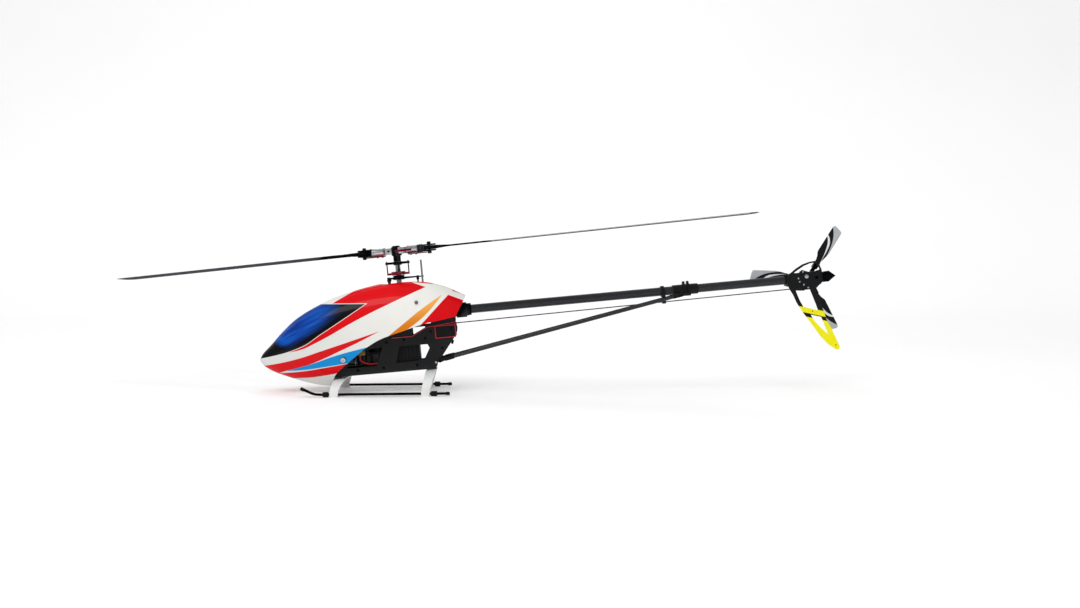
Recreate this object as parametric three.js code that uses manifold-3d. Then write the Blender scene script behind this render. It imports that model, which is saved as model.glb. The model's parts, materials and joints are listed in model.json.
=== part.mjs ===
// A 760-class electric model helicopter, as separate named parts in millimetres.
// Row frame: +X runs aft, +Y to starboard, +Z up, with the origin on the ground
// under the middle of the model. The helicopter stands nose-down on its skids,
// so everything but the landing gear is built in a tilted airframe group whose
// origin is where the mast axis meets the boom axis.
import * as THREE from "three";
import { mergeVertices } from "three/addons/utils/BufferGeometryUtils.js";
import Module from "manifold-3d";

const wasm = await Module();
wasm.setup();

// ---- stance -------------------------------------------------------------
const NOSE_DOWN = THREE.MathUtils.degToRad(5.02);
const BOOM_HEIGHT = 180.7; // boom axis above the ground, at the mast
const MAST_X = -150.7; // mast axis from the middle of the whole length
const GAP = 0.3; // between solids that touch on the real model

// ---- rotor --------------------------------------------------------------
const ROTOR_RADIUS = 841;
const ROTOR_HEIGHT = 152.5; // feathering axis above the boom axis
const ROTOR_AZIMUTH = THREE.MathUtils.degToRad(25.9); // aft blade, towards port
const REST_PITCH = THREE.MathUtils.degToRad(3.5); // leading edge below the axis
const BLADE_BOLT = 88;
const BLADE_ROOT_THICK = 8.6;
const BLADE_THICK = 8;
const CHORD_AHEAD = 20; // leading edge ahead of the feathering axis
const CHORD_BEHIND = 42;
const MAST_R = 6;
const GRIP_R = 9;
const DRIVER_PIN = 25; // drive pins from the mast axis
const PITCH_ARM = 30; // feathering axis to the pitch link ball
const PITCH_ARM_X = 20; // along the blade
const HUB_REACH = 27;
const SPINDLE_R = 4;
const COLLAR_Z = [128, 150]; // the hub's clamp on the mast
const COLLAR_R = 8.8;
const DRIVER_Z = [119, 127.5];
const SWASH_HIGH_Z = [95.2, 103.5]; // turning ring
const SWASH_HIGH_R = 16.5;
const SWASH_LOW_Z = [84, 94.5]; // fixed ring
const SWASH_LOW_R = 13.5;
const SWASH_ARM_Z = 88;
const GUIDE_X = [53, 57]; // anti-rotation posts
const GUIDE_GAP = 2.2; // half the slot between them
const GUIDE_TOP = 127;

// ---- drive --------------------------------------------------------------
const MAIN_TEETH = 112;
const MOTOR_TEETH = 12;
const TAIL_TEETH = 25;
const BEVEL_TEETH = 16;
const MODULE = 1;
const BEVEL_R = 9;
const GEAR_TOP = -12;
const GEAR_THICK = 9;
const CAN_R = 23.5;
const CAN_Z = [-80, -36];
const SHAFT_R = 3; // motor, tail drive and tail shafts
const TUBE_R = 4; // drive tube in the boom
const BEVEL_WIDTH = 5;
const MAIN_PITCH_R = (MAIN_TEETH * MODULE) / 2;
const MOTOR_X = -MAIN_PITCH_R - (MOTOR_TEETH * MODULE) / 2;
const TAIL_DRIVE_X = MAIN_PITCH_R + (TAIL_TEETH * MODULE) / 2;

// ---- frame --------------------------------------------------------------
const LOWER_IN = 27.3; // lower side plates, inner face from the centre plane
const PLATE = 2;
const UPPER_IN = 25;
const BOTTOM_Z = -131;
const BLOCK_HALF = UPPER_IN - GAP;
const LEAD_R = 2;
const SERVO_ARM = 22;
const SERVO_LONG = 40;
const SERVO_HALF = 10;
const CYCLIC_ARM_Y = 14.5; // servo arms from the centre plane
const LINK_Y = 18.5; // cyclic links from the centre plane
const FRONT_LINK_X = -23;
const REAR_LINK_X = 43;

// ---- tail ---------------------------------------------------------------
const BOOM_R = 10.3;
const BOOM_WALL = 1.4;
const BOOM_START = 124;
const BOOM_END = 944;
const BOOM_BORE = BOOM_R + GAP + 0.15;
const CLAMP_X = [649, 710]; // the braces' sleeve on the boom
const CLAMP_RINGS = [674, 684];
const GUIDE_CLAMP_X = [620, 628]; // pushrod guide
const FIN_Y = [-17.2, -15.2];
const TAIL_X = 1000; // tail rotor shaft
const TAIL_Y = 44; // tail rotor plane
const TAIL_RADIUS = 146;
const TAIL_BOLT = 40;
const TAIL_ARM = 13; // tail grip's pitch ball from the feathering axis
const TAIL_ARM_X = 18; // and along the blade
const TAIL_LINK_R = Math.hypot(TAIL_ARM, TAIL_ARM_X);
const TAIL_LINK_TURN = Math.atan2(TAIL_ARM, TAIL_ARM_X);
const TAIL_PHASE = THREE.MathUtils.degToRad(52.3);
const TAIL_TURNS = [0, 1, 2].map((i) => TAIL_PHASE + (i * 2 * Math.PI) / 3);
const SLIDER_Y = [20.2, 32];
const SLIDER_ARM_Y = 28.2;
const CRANK = { x: 965, y: 24, z: -22 }; // bell crank pivot
const ROD_Y = -12; // pushrod from the centre plane
const BRACE_R = 3.6;
const BRACE_START = [80, LOWER_IN + PLATE + 4.6, -112];
const BRACE_END = [671, 19, -11];
const ROD_START = new THREE.Vector3(100, ROD_Y, -29.5);
const ROD_END = new THREE.Vector3(CRANK.x, ROD_Y, CRANK.z);

// Servo shafts: x, z, the side their arm is on and the arm's plane.
const LEFT_SERVO = { x: FRONT_LINK_X - SERVO_ARM, z: 42, side: -1 };
const RIGHT_SERVO = { x: FRONT_LINK_X - SERVO_ARM, z: 19, side: 1 };
const REAR_SERVO = { x: REAR_LINK_X + SERVO_ARM, z: 28, side: 1 };
const TAIL_SERVO_ARM = 17;
const TAIL_SERVO = {
  x: ROD_START.x, z: ROD_START.z - TAIL_SERVO_ARM, side: -1, armY: -ROD_Y,
};

// ---- landing gear -------------------------------------------------------
const TRACK = 98; // skid from the centre plane
const SKID_R = 3;
const SLEEVE_R = 6; // also the skid's height, because its sleeves touch the ground
const FRONT_FOOT_X = -147;
const REAR_FOOT_X = 58;
const SLEEVES = [[-171, -158.5], [71, 85]];
// The skid's line: x, and its height over the straight part.
const SKID_LINE = [[-216, 13], [-203, 6.5], [-191, 1.6], [-178, 0], [-166, 0], [113, 0]];
const FOOT_HALF = 5.2; // across the model
const STRUT_HALF = 9; // along it

// ---- canopy -------------------------------------------------------------
const SHELL = 1.6;
const SLOT_HALF = 23;
const SLOT_FRONT = -46;
const CANOPY_POWER = 2.4; // 2 is an ellipse, more is squarer
// Hull stations: x, roof, keel and half width.
const STATIONS = [
  [-337, -70, -80, 3],
  [-330, -60, -89, 14],
  [-309, -41, -104, 27],
  [-280, -13, -118, 39],
  [-246, 14, -132, 49],
  [-206, 35, -145, 57],
  [-155, 55, -154, 63],
  [-100, 69, -157, 66.5],
  [-45, 78, -157, 68],
  [15, 81, -156, 68],
  [65, 76, -154, 67],
  [110, 60, -150, 65],
  [152, 37, -146, 63],
];

// ---- materials ----------------------------------------------------------
const finish = (color, roughness, metalness) =>
  new THREE.MeshStandardMaterial({ color, roughness, metalness });
const carbon = finish(0x15171a, 0.35, 0.1);
const blackMetal = finish(0x1b1c1f, 0.4, 0.7);
const silver = finish(0xb9bdc2, 0.3, 1);
const steel = finish(0x8a8d91, 0.35, 1);
const blackPlastic = finish(0x202124, 0.55, 0);
const whitePlastic = finish(0xf0f0ee, 0.4, 0);
const redMetal = finish(0xb5122b, 0.35, 0.8);
const paint = finish(0xe8e8e6, 0.25, 0);
const wrap = finish(0x27406e, 0.5, 0);

// ---- solids -------------------------------------------------------------

/** A manifold solid from a closed three.js geometry. */
function solid(geometry) {
  const plain = geometry.clone();
  plain.deleteAttribute("normal");
  plain.deleteAttribute("uv");
  const merged = mergeVertices(plain, 1e-4);
  return new wasm.Manifold(
    new wasm.Mesh({
      numProp: 3,
      vertProperties: new Float32Array(merged.attributes.position.array),
      triVerts: new Uint32Array(merged.index.array),
    }),
  );
}

/** A named three.js mesh from a manifold solid. */
function part(name, body, material) {
  const found = body.getMesh();
  const geometry = new THREE.BufferGeometry();
  geometry.setAttribute("position", new THREE.BufferAttribute(found.vertProperties, 3));
  geometry.setIndex(new THREE.BufferAttribute(found.triVerts, 1));
  geometry.computeVertexNormals();
  const mesh = new THREE.Mesh(geometry, material);
  mesh.name = name;
  return mesh;
}

const joined = (...bodies) => bodies.reduce((whole, body) => whole.add(body));
const cut = (body, ...tools) => tools.reduce((left, tool) => left.subtract(tool), body);

/** A box between two values on each axis. */
function box([x0, x1], [y0, y1], [z0, z1]) {
  const geometry = new THREE.BoxGeometry(x1 - x0, y1 - y0, z1 - z0);
  geometry.translate((x0 + x1) / 2, (y0 + y1) / 2, (z0 + z1) / 2);
  return solid(geometry);
}

/** A round bar between two points. */
function rod(from, to, radius, sides = 12, endRadius = radius) {
  const start = new THREE.Vector3(...from);
  const along = new THREE.Vector3(...to).sub(start);
  const geometry = new THREE.CylinderGeometry(endRadius, radius, along.length(), sides);
  geometry.translate(0, along.length() / 2, 0);
  const up = new THREE.Vector3(0, 1, 0);
  const turn = new THREE.Quaternion().setFromUnitVectors(up, along.clone().normalize());
  geometry.applyQuaternion(turn);
  geometry.translate(start.x, start.y, start.z);
  return solid(geometry);
}

/** An upright bar at x, y from z0 to z1. */
const post = (x, y, z0, z1, radius, sides = 12) =>
  rod([x, y, z0], [x, y, z1], radius, sides);

/** A bar across the model, along Y. */
const cross = (x, z, y0, y1, radius, sides = 12) =>
  rod([x, y0, z], [x, y1, z], radius, sides);

function shapeOf(points, holes = []) {
  const shape = new THREE.Shape(points.map(([u, v]) => new THREE.Vector2(u, v)));
  for (const hole of holes) {
    shape.holes.push(new THREE.Path(hole.map(([u, v]) => new THREE.Vector2(u, v))));
  }
  return shape;
}

const thick = (points, depth, holes) =>
  new THREE.ExtrudeGeometry(shapeOf(points, holes), { depth, bevelEnabled: false });

/** A plate whose outline is in x and z, between two values of y. */
function sidePlate(points, y0, y1, holes) {
  const geometry = thick(points, y1 - y0, holes);
  geometry.rotateX(Math.PI / 2);
  geometry.translate(0, y1, 0);
  return solid(geometry);
}

/** A plate whose outline is in x and y, between two values of z. */
function flatPlate(points, z0, z1, holes) {
  const geometry = thick(points, z1 - z0, holes);
  geometry.translate(0, 0, z0);
  return solid(geometry);
}

/** A closed skin through rings of points, capped at both ends. */
function loft(rings) {
  const count = rings[0].length;
  const positions = [];
  const index = [];
  rings.forEach((ring) => ring.forEach((point) => positions.push(...point)));
  for (let r = 0; r < rings.length - 1; r += 1) {
    for (let i = 0; i < count; i += 1) {
      const a = r * count + i;
      const b = r * count + ((i + 1) % count);
      index.push(a, b, a + count, b, b + count, a + count);
    }
  }
  const last = (rings.length - 1) * count;
  for (let i = 1; i < count - 1; i += 1) {
    index.push(0, i + 1, i);
    index.push(last, last + i, last + i + 1);
  }
  const geometry = new THREE.BufferGeometry();
  geometry.setAttribute("position", new THREE.Float32BufferAttribute(positions, 3));
  geometry.setIndex(index);
  return solid(geometry);
}

/** Catmull-Rom value of a column of a table whose first column is x. */
function between(table, x, column) {
  let i = table.findIndex((row, k) => k > 0 && x <= row[0]) - 1;
  if (i < 0) i = table.length - 2;
  const at = (k) => table[Math.min(Math.max(k, 0), table.length - 1)];
  const [a, b, c, d] = [at(i - 1), at(i), at(i + 1), at(i + 2)];
  const span = c[0] - b[0];
  const t = (x - b[0]) / span;
  const slope = (p, q) => ((q[column] - p[column]) / (q[0] - p[0])) * span;
  const [m0, m1] = [slope(a, c), slope(b, d)];
  const [t2, t3] = [t * t, t * t * t];
  return (
    (2 * t3 - 3 * t2 + 1) * b[column] +
    (t3 - 2 * t2 + t) * m0 +
    (3 * t2 - 2 * t3) * c[column] +
    (t3 - t2) * m1
  );
}

/** A gear's outline, with one tooth's middle on +X and straight flanks. */
function toothRing(teeth, radius, { tip = 0.9, root = 1.2, turn = 0, flat = true } = {}) {
  const pitch = (2 * Math.PI) / teeth;
  const points = [];
  for (let i = 0; i < teeth; i += 1) {
    const middle = i * pitch + turn;
    const corners = flat
      ? [[-0.3, -root], [-0.12, tip], [0.12, tip], [0.3, -root]]
      : [[-0.5, -root], [0, tip]];
    for (const [share, r] of corners) {
      const angle = middle + share * pitch;
      points.push([(radius + r) * Math.cos(angle), (radius + r) * Math.sin(angle)]);
    }
  }
  return points;
}

/** A 45 degree bevel gear: large end at z = 0, cone point at z = radius. */
function bevelGear(width, turn) {
  const large = toothRing(BEVEL_TEETH, BEVEL_R, { tip: 0.6, root: 1, turn, flat: false });
  const small = 1 - width / BEVEL_R;
  return loft([
    large.map(([x, y]) => [x, y, 0]),
    large.map(([x, y]) => [x * small, y * small, width]),
  ]);
}

// ---- main frame ---------------------------------------------------------

function lowerFrame(side) {
  const outline = [
    [-258, -100], [-244, -113], [-218, -122], [-162, -129], [69, BOTTOM_Z], [73, -119], [86, -103],
    [117, -63], [125, -50], [126, -41], [124, -29], [120, -25], [57, -31], [20, -49],
    [-95, -49], [-122, -62], [-256, -68],
  ];
  const rearWindow = [[-11, -72], [54, -72], [58, -81], [43, -108], [-22, -109]];
  const middleWindow = [[-129, -97], [-99, -74], [-51, -69], [-68, -112], [-137, -111]];
  const frontWindow = [[-238, -106], [-236, -82], [-160, -80], [-166, -112]];
  const [y0, y1] = side < 0 ? [-LOWER_IN - PLATE, -LOWER_IN] : [LOWER_IN, LOWER_IN + PLATE];
  const name = side < 0 ? "lower_frame_left" : "lower_frame_right";
  return part(
    name,
    sidePlate(outline, y0, y1, [rearWindow, middleWindow, frontWindow]),
    carbon,
  );
}

function upperFrame(side) {
  const outline = [
    [-100, -60], [118, -60], [124, -22], [124, 20], [112, 30], [98, 33], [60, 43],
    [20, 50], [-18, 52], [-60, 52], [-98, 40],
  ];
  const gearSlot = [[-66, -26], [66, -26], [66, -7], [-66, -7]];
  const lowWindow = [[20, -48], [25, -48], [52, -34.5], [52, -30], [20, -30]];
  const [y0, y1] = side < 0 ? [-UPPER_IN - PLATE, -UPPER_IN] : [UPPER_IN, UPPER_IN + PLATE];
  const name = side < 0 ? "upper_frame_left" : "upper_frame_right";
  return part(name, sidePlate(outline, y0, y1, [gearSlot, lowWindow]), carbon);
}

function bottomPlate() {
  const half = LOWER_IN - GAP;
  const outline = [[-214, -half], [64, -half], [64, half], [-214, half]];
  return part("bottom_plate", flatPlate(outline, -127, -124), carbon);
}

/** A block between the upper side plates that holds a mast bearing. */
function bearingBlock(name, z0, z1) {
  const body = box([-18, 18], [-BLOCK_HALF, BLOCK_HALF], [z0, z1]);
  return part(name, cut(body, post(0, 0, z0 - 1, z1 + 1, MAST_R + 0.6, 16)), blackMetal);
}

function motorMount() {
  const [z0, z1] = [-32, -28];
  const body = box([MOTOR_X - 26, MOTOR_X + 26], [-BLOCK_HALF, BLOCK_HALF], [z0, z1]);
  return part("motor_mount", cut(body, post(MOTOR_X, 0, z0 - 1, z1 + 1, 9)), blackMetal);
}

function boomBlock() {
  const body = joined(
    box([110, 158], [-BLOCK_HALF, BLOCK_HALF], [-14, 14]),
    box([128, 152], [-BLOCK_HALF, BLOCK_HALF], [-17, 17]),
    rod([150, 0, 0], [163, 0, 0], BOOM_R + 4, 20),
  );
  const bore = rod([BOOM_START - 1, 0, 0], [170, 0, 0], BOOM_BORE, 24);
  const shaftBore = rod([105, 0, 0], [126, 0, 0], 7, 12);
  return part("boom_block", cut(body, bore, shaftBore), blackMetal);
}

function batteryTray() {
  const half = LOWER_IN - GAP;
  const floor = box([-258, -112], [-half, half], [-107, -104]);
  const stop = box([-115, -112], [-half, half], [-105, -88]);
  return part("battery_tray", joined(floor, stop), carbon);
}

function speedController() {
  const body = box([-30, 35], [-19, 19], [-122, -68]);
  const fins = [];
  for (let x = -24; x < 32; x += 9) {
    fins.push(box([x, x + 4], [-21, 21], [-118, -72]));
  }
  return part("speed_controller", joined(body, ...fins), blackMetal);
}

/** The battery's plug and its two leads from the speed controller. */
function powerLeads() {
  const plug = box([-109, -93], [-24, -8], [-86, -74]);
  const routes = [
    [[-31, -12, -100], [-58, -15, -106], [-86, -19, -106], [-104, -20, -97], [-105, -20, -85]],
    [[-31, -4, -108], [-58, -6, -113], [-82, -10, -111], [-96, -12, -99], [-97, -12, -85]],
  ];
  const leads = routes.map((route) => {
    const path = new THREE.CatmullRomCurve3(route.map((point) => new THREE.Vector3(...point)));
    const circle = new THREE.Shape().absarc(0, 0, LEAD_R, 0, 2 * Math.PI);
    return solid(
      new THREE.ExtrudeGeometry(circle, { steps: 14, curveSegments: 4, extrudePath: path }),
    );
  });
  return part("power_leads", joined(plug, ...leads), blackPlastic);
}

function flightController() {
  const body = box([-24, 18], [-13, 13], [-67.6, -53]);
  return part("flight_controller", body, blackPlastic);
}

/** A servo between the plates, with its output shaft along Y. */
function servo(name, { x, z, side, tail, armY = CYCLIC_ARM_Y }) {
  // side is -1 for an arm towards port and 1 for one towards starboard.
  const face = side * (armY - 3);
  const back = -side * (BLOCK_HALF - GAP);
  const ys = [Math.min(face, back), Math.max(face, back)];
  const body = box([tail, tail + SERVO_LONG], ys, [z - SERVO_HALF, z + SERVO_HALF]);
  const shaft = cross(x, z, face - side, side * (armY + 1.3), 3, 10);
  return part(name, joined(body, shaft), blackPlastic);
}

/** A servo's arm, from its shaft at x to a ball at reach, along X or Z. */
function servoArm(name, { x, z, side, dx = 0, dz = 0, armY = CYCLIC_ARM_Y }) {
  const [y0, y1] = [side * armY - 1.5, side * armY + 1.5];
  const long = Math.hypot(dx, dz);
  const hub = cross(x, z, y0, y1, 5, 14);
  const tip = cross(x + dx, z + dz, y0, y1, 2.6, 10);
  const across = [(-dz / long) * 2.4, (dx / long) * 2.4];
  const beam = sidePlate(
    [
      [x + across[0], z + across[1]],
      [x + dx + across[0], z + dz + across[1]],
      [x + dx - across[0], z + dz - across[1]],
      [x - across[0], z - across[1]],
    ].reverse(),
    y0,
    y1,
  );
  const bore = cross(x, z, -20, 20, 3.5, 10);
  return part(name, cut(joined(hub, beam, tip), bore), blackPlastic);
}

function antiRotationGuide() {
  const base = box([48, 60], [-BLOCK_HALF, BLOCK_HALF], [39, 43]);
  const far = GUIDE_GAP + 3;
  const left = box(GUIDE_X, [-far, -GUIDE_GAP], [42, GUIDE_TOP]);
  const right = box(GUIDE_X, [GUIDE_GAP, far], [42, GUIDE_TOP]);
  const cap = box(GUIDE_X, [-far, far], [GUIDE_TOP - 3, GUIDE_TOP]);
  return part("anti_rotation_guide", joined(base, left, right, cap), steel);
}

// ---- drive train --------------------------------------------------------

function mainShaft() {
  return part("main_shaft", post(0, 0, -44, 139.5, MAST_R, 16), steel);
}

function mainGear() {
  const outline = toothRing(MAIN_TEETH, MAIN_PITCH_R, { root: 1.9, flat: false });
  let body = flatPlate(outline, GEAR_TOP - GEAR_THICK, GEAR_TOP);
  for (let i = 0; i < 6; i += 1) {
    const angle = ((i + 0.5) * Math.PI) / 3;
    const hole = post(32 * Math.cos(angle), 32 * Math.sin(angle), -30, 0, 12, 12);
    body = cut(body, hole);
  }
  const hub = post(0, 0, GEAR_TOP - GEAR_THICK - 4, GEAR_TOP + 3, 12, 18);
  body = cut(joined(body, hub), post(0, 0, -40, 0, MAST_R + GAP, 16));
  return part("main_gear", body, whitePlastic);
}

/** The motor's turning can, with its shaft and pinion. */
function motorRotor() {
  const can = post(MOTOR_X, 0, ...CAN_Z, CAN_R, 28);
  const shaft = post(MOTOR_X, 0, CAN_Z[1] - 4, -20, SHAFT_R, 12);
  // A gap of the pinion faces the main gear's tooth on -X.
  const turn = Math.PI / MOTOR_TEETH;
  const teeth = toothRing(MOTOR_TEETH, (MOTOR_TEETH * MODULE) / 2, { turn });
  const pinion = flatPlate(
    teeth.map(([x, y]) => [x + MOTOR_X, y]),
    GEAR_TOP - GEAR_THICK - 1,
    GEAR_TOP + 1,
  );
  return part("motor_rotor", joined(can, shaft, pinion), blackMetal);
}

/** The upright shaft that takes the drive from the main gear to the bevels. */
function tailDriveShaft() {
  const turn = Math.PI + Math.PI / TAIL_TEETH;
  const teeth = toothRing(TAIL_TEETH, (TAIL_TEETH * MODULE) / 2, { turn });
  const pinion = flatPlate(teeth, GEAR_TOP - GEAR_THICK - 0.5, GEAR_TOP + 0.5);
  const shaft = post(0, 0, -34, 15, SHAFT_R, 10);
  const bevel = bevelGear(BEVEL_WIDTH, 0).mirror([0, 0, 1]).translate([0, 0, BEVEL_R]);
  const hub = post(0, 0, BEVEL_R - 1, BEVEL_R + 5, 5.9, 12);
  const body = joined(pinion, shaft, bevel, hub).translate([TAIL_DRIVE_X, 0, 0]);
  return part("tail_drive_shaft", body, steel);
}

/** The drive tube in the boom, with a bevel gear at each end. */
function torqueTube() {
  const gap = Math.PI / BEVEL_TEETH;
  const front = bevelGear(BEVEL_WIDTH, gap)
    .rotate([0, -90, 0])
    .translate([TAIL_DRIVE_X + BEVEL_R, 0, 0]);
  const rear = bevelGear(BEVEL_WIDTH, gap).rotate([0, 90, 0]).translate([TAIL_X - BEVEL_R, 0, 0]);
  const ends = [TAIL_DRIVE_X + BEVEL_R - 1, TAIL_X - BEVEL_R + 1];
  const tube = rod([ends[0], 0, 0], [ends[1], 0, 0], TUBE_R, 12);
  return part("torque_tube", joined(front, rear, tube), steel);
}

// ---- head ---------------------------------------------------------------

function rotorHub() {
  const top = ROTOR_HEIGHT + 9;
  const body = joined(
    box([-HUB_REACH, HUB_REACH], [-8, 8], [ROTOR_HEIGHT - 7.5, top - 2]),
    post(0, 0, ...COLLAR_Z, COLLAR_R, 18),
    post(0, 0, 141, top, 12, 18),
    rod([-68, 0, ROTOR_HEIGHT], [68, 0, ROTOR_HEIGHT], SPINDLE_R, 12),
  );
  return part("rotor_hub", cut(body, post(0, 0, 120, 140, MAST_R + GAP, 16)), silver);
}

function swashDriver() {
  // The bar keeps along X at rest, whatever the blades' azimuth.
  const bar = box([-28.5, 28.5], [-3.2, 3.2], [121, 126.5]);
  const collar = post(0, 0, ...DRIVER_Z, 10, 18);
  const tools = [post(0, 0, 110, 130, MAST_R + GAP, 16)];
  for (const x of [-DRIVER_PIN, DRIVER_PIN]) {
    tools.push(post(x, 0, 110, 130, 2, 10));
  }
  const body = cut(joined(bar, collar), ...tools);
  const turn = THREE.MathUtils.radToDeg(ROTOR_AZIMUTH);
  return part("swash_driver", body.rotate([0, 0, turn]), blackMetal);
}

/** One blade grip about local +X, with its fork, blade bolt and pitch arm. */
function bladeGrip(name) {
  const fork = cut(
    box([62, 100], [-11, 11], [-8.4, 8.4]),
    box([73.5, 101], [-12, 12], [-4.7, 4.7]),
  );
  const body = rod([30, 0, 0], [70, 0, 0], GRIP_R, 16);
  const bore = rod([29, 0, 0], [69.5, 0, 0], 4.8, 12);
  const armOutline = [
    [33, -6], [PITCH_ARM_X - 5, -PITCH_ARM + 4], [PITCH_ARM_X - 4, -PITCH_ARM - 3.5],
    [PITCH_ARM_X + 5, -PITCH_ARM - 3.5], [48, -6],
  ];
  const arm = flatPlate(armOutline, -2.5, 2.5);
  const bolt = joined(
    post(BLADE_BOLT, 0, -10.5, 9, 2.4, 10),
    post(BLADE_BOLT, 0, 8, 11.5, 4.4, 12),
    post(BLADE_BOLT, 0, -11.5, -8, 4.4, 6),
  );
  return part(name, joined(cut(joined(fork, body, arm), bore), bolt), silver);
}

/** One main blade about local +X, leading edge towards -Y. */
function mainBlade(name) {
  // Radius, leading edge and trailing edge from the axis, and thickness.
  const planform = [
    [BLADE_BOLT - 11.8, 2.2, 2.2, 0.9],
    [BLADE_BOLT - 9, 7.9, 7.9, 1],
    [BLADE_BOLT - 4, 11.3, 11.3, 1],
    [BLADE_BOLT + 1, 12, 12, 1],
    [104, 13, 13, 1],
    [118, 17, 27, 1],
    [140, CHORD_AHEAD, CHORD_BEHIND, 1],
    [ROTOR_RADIUS - 34, CHORD_AHEAD, CHORD_BEHIND, 1],
    [ROTOR_RADIUS - 12, CHORD_AHEAD - 2, CHORD_BEHIND - 1, 0.9],
    [ROTOR_RADIUS, CHORD_AHEAD - 12, CHORD_BEHIND - 9, 0.55],
  ];
  const fractions = [0.06, 0.22, 0.5, 0.8];
  const rings = planform.map(([x, ahead, behind, scale]) => {
    const isRoot = x < 110;
    const height = (f) =>
      isRoot
        ? (BLADE_ROOT_THICK / 2) * Math.min(1, 6 * Math.min(f, 1 - f) + 0.55)
        : scale * BLADE_THICK * 2.5 *
          (0.2969 * Math.sqrt(f) - 0.126 * f - 0.3516 * f ** 2 + 0.2843 * f ** 3 - 0.1036 * f ** 4);
    const y = (f) => -ahead + f * (ahead + behind);
    const upper = fractions.map((f) => [x, y(f), height(f)]);
    const lower = fractions.map((f) => [x, y(f), -height(f)]).reverse();
    return [[x, y(0), 0], ...upper, [x, y(1), 0.25], [x, y(1), -0.25], ...lower];
  });
  const body = loft(rings.map((ring) => ring.reverse()));
  return part(name, cut(body, post(BLADE_BOLT, 0, -9, 9, 2.8, 10)), paint);
}

/** The swashplate's lower ring, which slides but doesn't turn. */
function swashInner() {
  const ring = post(0, 0, ...SWASH_LOW_Z, SWASH_LOW_R, 20);
  const z = SWASH_ARM_Z;
  const arm = (x, y) => rod([x * 0.3, y * 0.3, z], [x, y, z], 2.6, 8, 2);
  const front = [-1, 1].map((side) =>
    joined(
      arm(FRONT_LINK_X, side * LINK_Y),
      post(FRONT_LINK_X, side * LINK_Y, z - 3, z + 3, 2.9, 10),
    ),
  );
  const rear = joined(
    rod([8, 0, z], [50, 0, z], 2.6, 8, 1.6),
    box([47.5, GUIDE_X[1] + 1.5], [-1.7, 1.7], [z - 1.6, z + 1.6]),
    rod([REAR_LINK_X, 0, z], [REAR_LINK_X, LINK_Y, z], 2.2, 8),
    post(REAR_LINK_X, LINK_Y, z - 3, z + 3, 2.9, 10),
  );
  const body = cut(joined(ring, ...front, rear), post(0, 0, 80, 99, MAST_R + 0.5, 16));
  return part("swash_inner", body, blackMetal);
}

/** The swashplate's upper ring, which slides and turns with the rotor. */
function swashOuter() {
  const bodies = [post(0, 0, ...SWASH_HIGH_Z, SWASH_HIGH_R, 20)];
  for (const sign of [-1, 1]) {
    const [x, y] = [sign * PITCH_ARM_X, -sign * PITCH_ARM];
    bodies.push(rod([x * 0.35, y * 0.35, 99.5], [x, y, 99.5], 3, 8, 2.4));
    bodies.push(post(x, y, 96.5, 102.5, 3.2, 10));
    const pin = [
      sign * DRIVER_PIN * Math.cos(ROTOR_AZIMUTH),
      sign * DRIVER_PIN * Math.sin(ROTOR_AZIMUTH),
    ];
    bodies.push(rod([pin[0] * 0.5, pin[1] * 0.5, 98.5], [...pin, 98.5], 2.6, 8));
    bodies.push(post(...pin, 96, 129, 1.5, 8));
  }
  const body = cut(joined(...bodies), post(0, 0, 90, 110, MAST_R + 1.2, 16));
  return part("swash_outer", body, redMetal);
}

/** The link from a swashplate ball up to a grip's pitch arm. */
function pitchLink(name, sign) {
  const [x, y] = [sign * PITCH_ARM_X, -sign * PITCH_ARM];
  const top = ROTOR_HEIGHT - PITCH_ARM * Math.sin(REST_PITCH) - 2.5 - 0.9;
  const body = joined(
    post(x, y, 102.9, 110, 3.3, 10),
    post(x, y, 108, top - 5, 1.9, 8),
    post(x, y, top - 8, top, 3.3, 10),
  );
  return part(name, body, blackPlastic);
}

function rotorParts() {
  const rotor = new THREE.Group();
  rotor.rotation.z = -ROTOR_AZIMUTH;
  rotor.add(rotorHub(), swashDriver(), swashOuter());
  rotor.add(pitchLink("pitch_link_a", 1), pitchLink("pitch_link_b", -1));
  ["a", "b"].forEach((letter, i) => {
    const arm = new THREE.Group();
    arm.rotation.z = i * Math.PI;
    const feather = new THREE.Group();
    feather.position.z = ROTOR_HEIGHT;
    feather.rotation.x = REST_PITCH;
    feather.add(bladeGrip(`blade_grip_${letter}`), mainBlade(`main_blade_${letter}`));
    arm.add(feather);
    rotor.add(arm);
  });
  return rotor;
}

// ---- boom and tail ------------------------------------------------------

function tailBoom() {
  const outer = rod([BOOM_START, 0, 0], [BOOM_END, 0, 0], BOOM_R, 24);
  const inner = rod([BOOM_START - 5, 0, 0], [BOOM_END + 6, 0, 0], BOOM_R - BOOM_WALL, 24);
  return part("tail_boom", cut(outer, inner), carbon);
}

/** The collar that ties both boom braces to the boom. */
function braceClamp() {
  const sleeve = rod([CLAMP_X[0], 0, 0], [CLAMP_X[1], 0, 0], 12.6, 20);
  const rings = CLAMP_RINGS.map((x) =>
    joined(
      rod([x, 0, 0], [x + 5, 0, 0], 16, 20),
      box([x, x + 5], [-19, 19], [-15, -5]),
      box([x, x + 5], [-4, 4], [10, 20]),
    ),
  );
  const bore = rod([CLAMP_X[0] - 9, 0, 0], [CLAMP_X[1] + 10, 0, 0], BOOM_BORE, 24);
  return part("brace_clamp", cut(joined(sleeve, ...rings), bore), blackPlastic);
}

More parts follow.
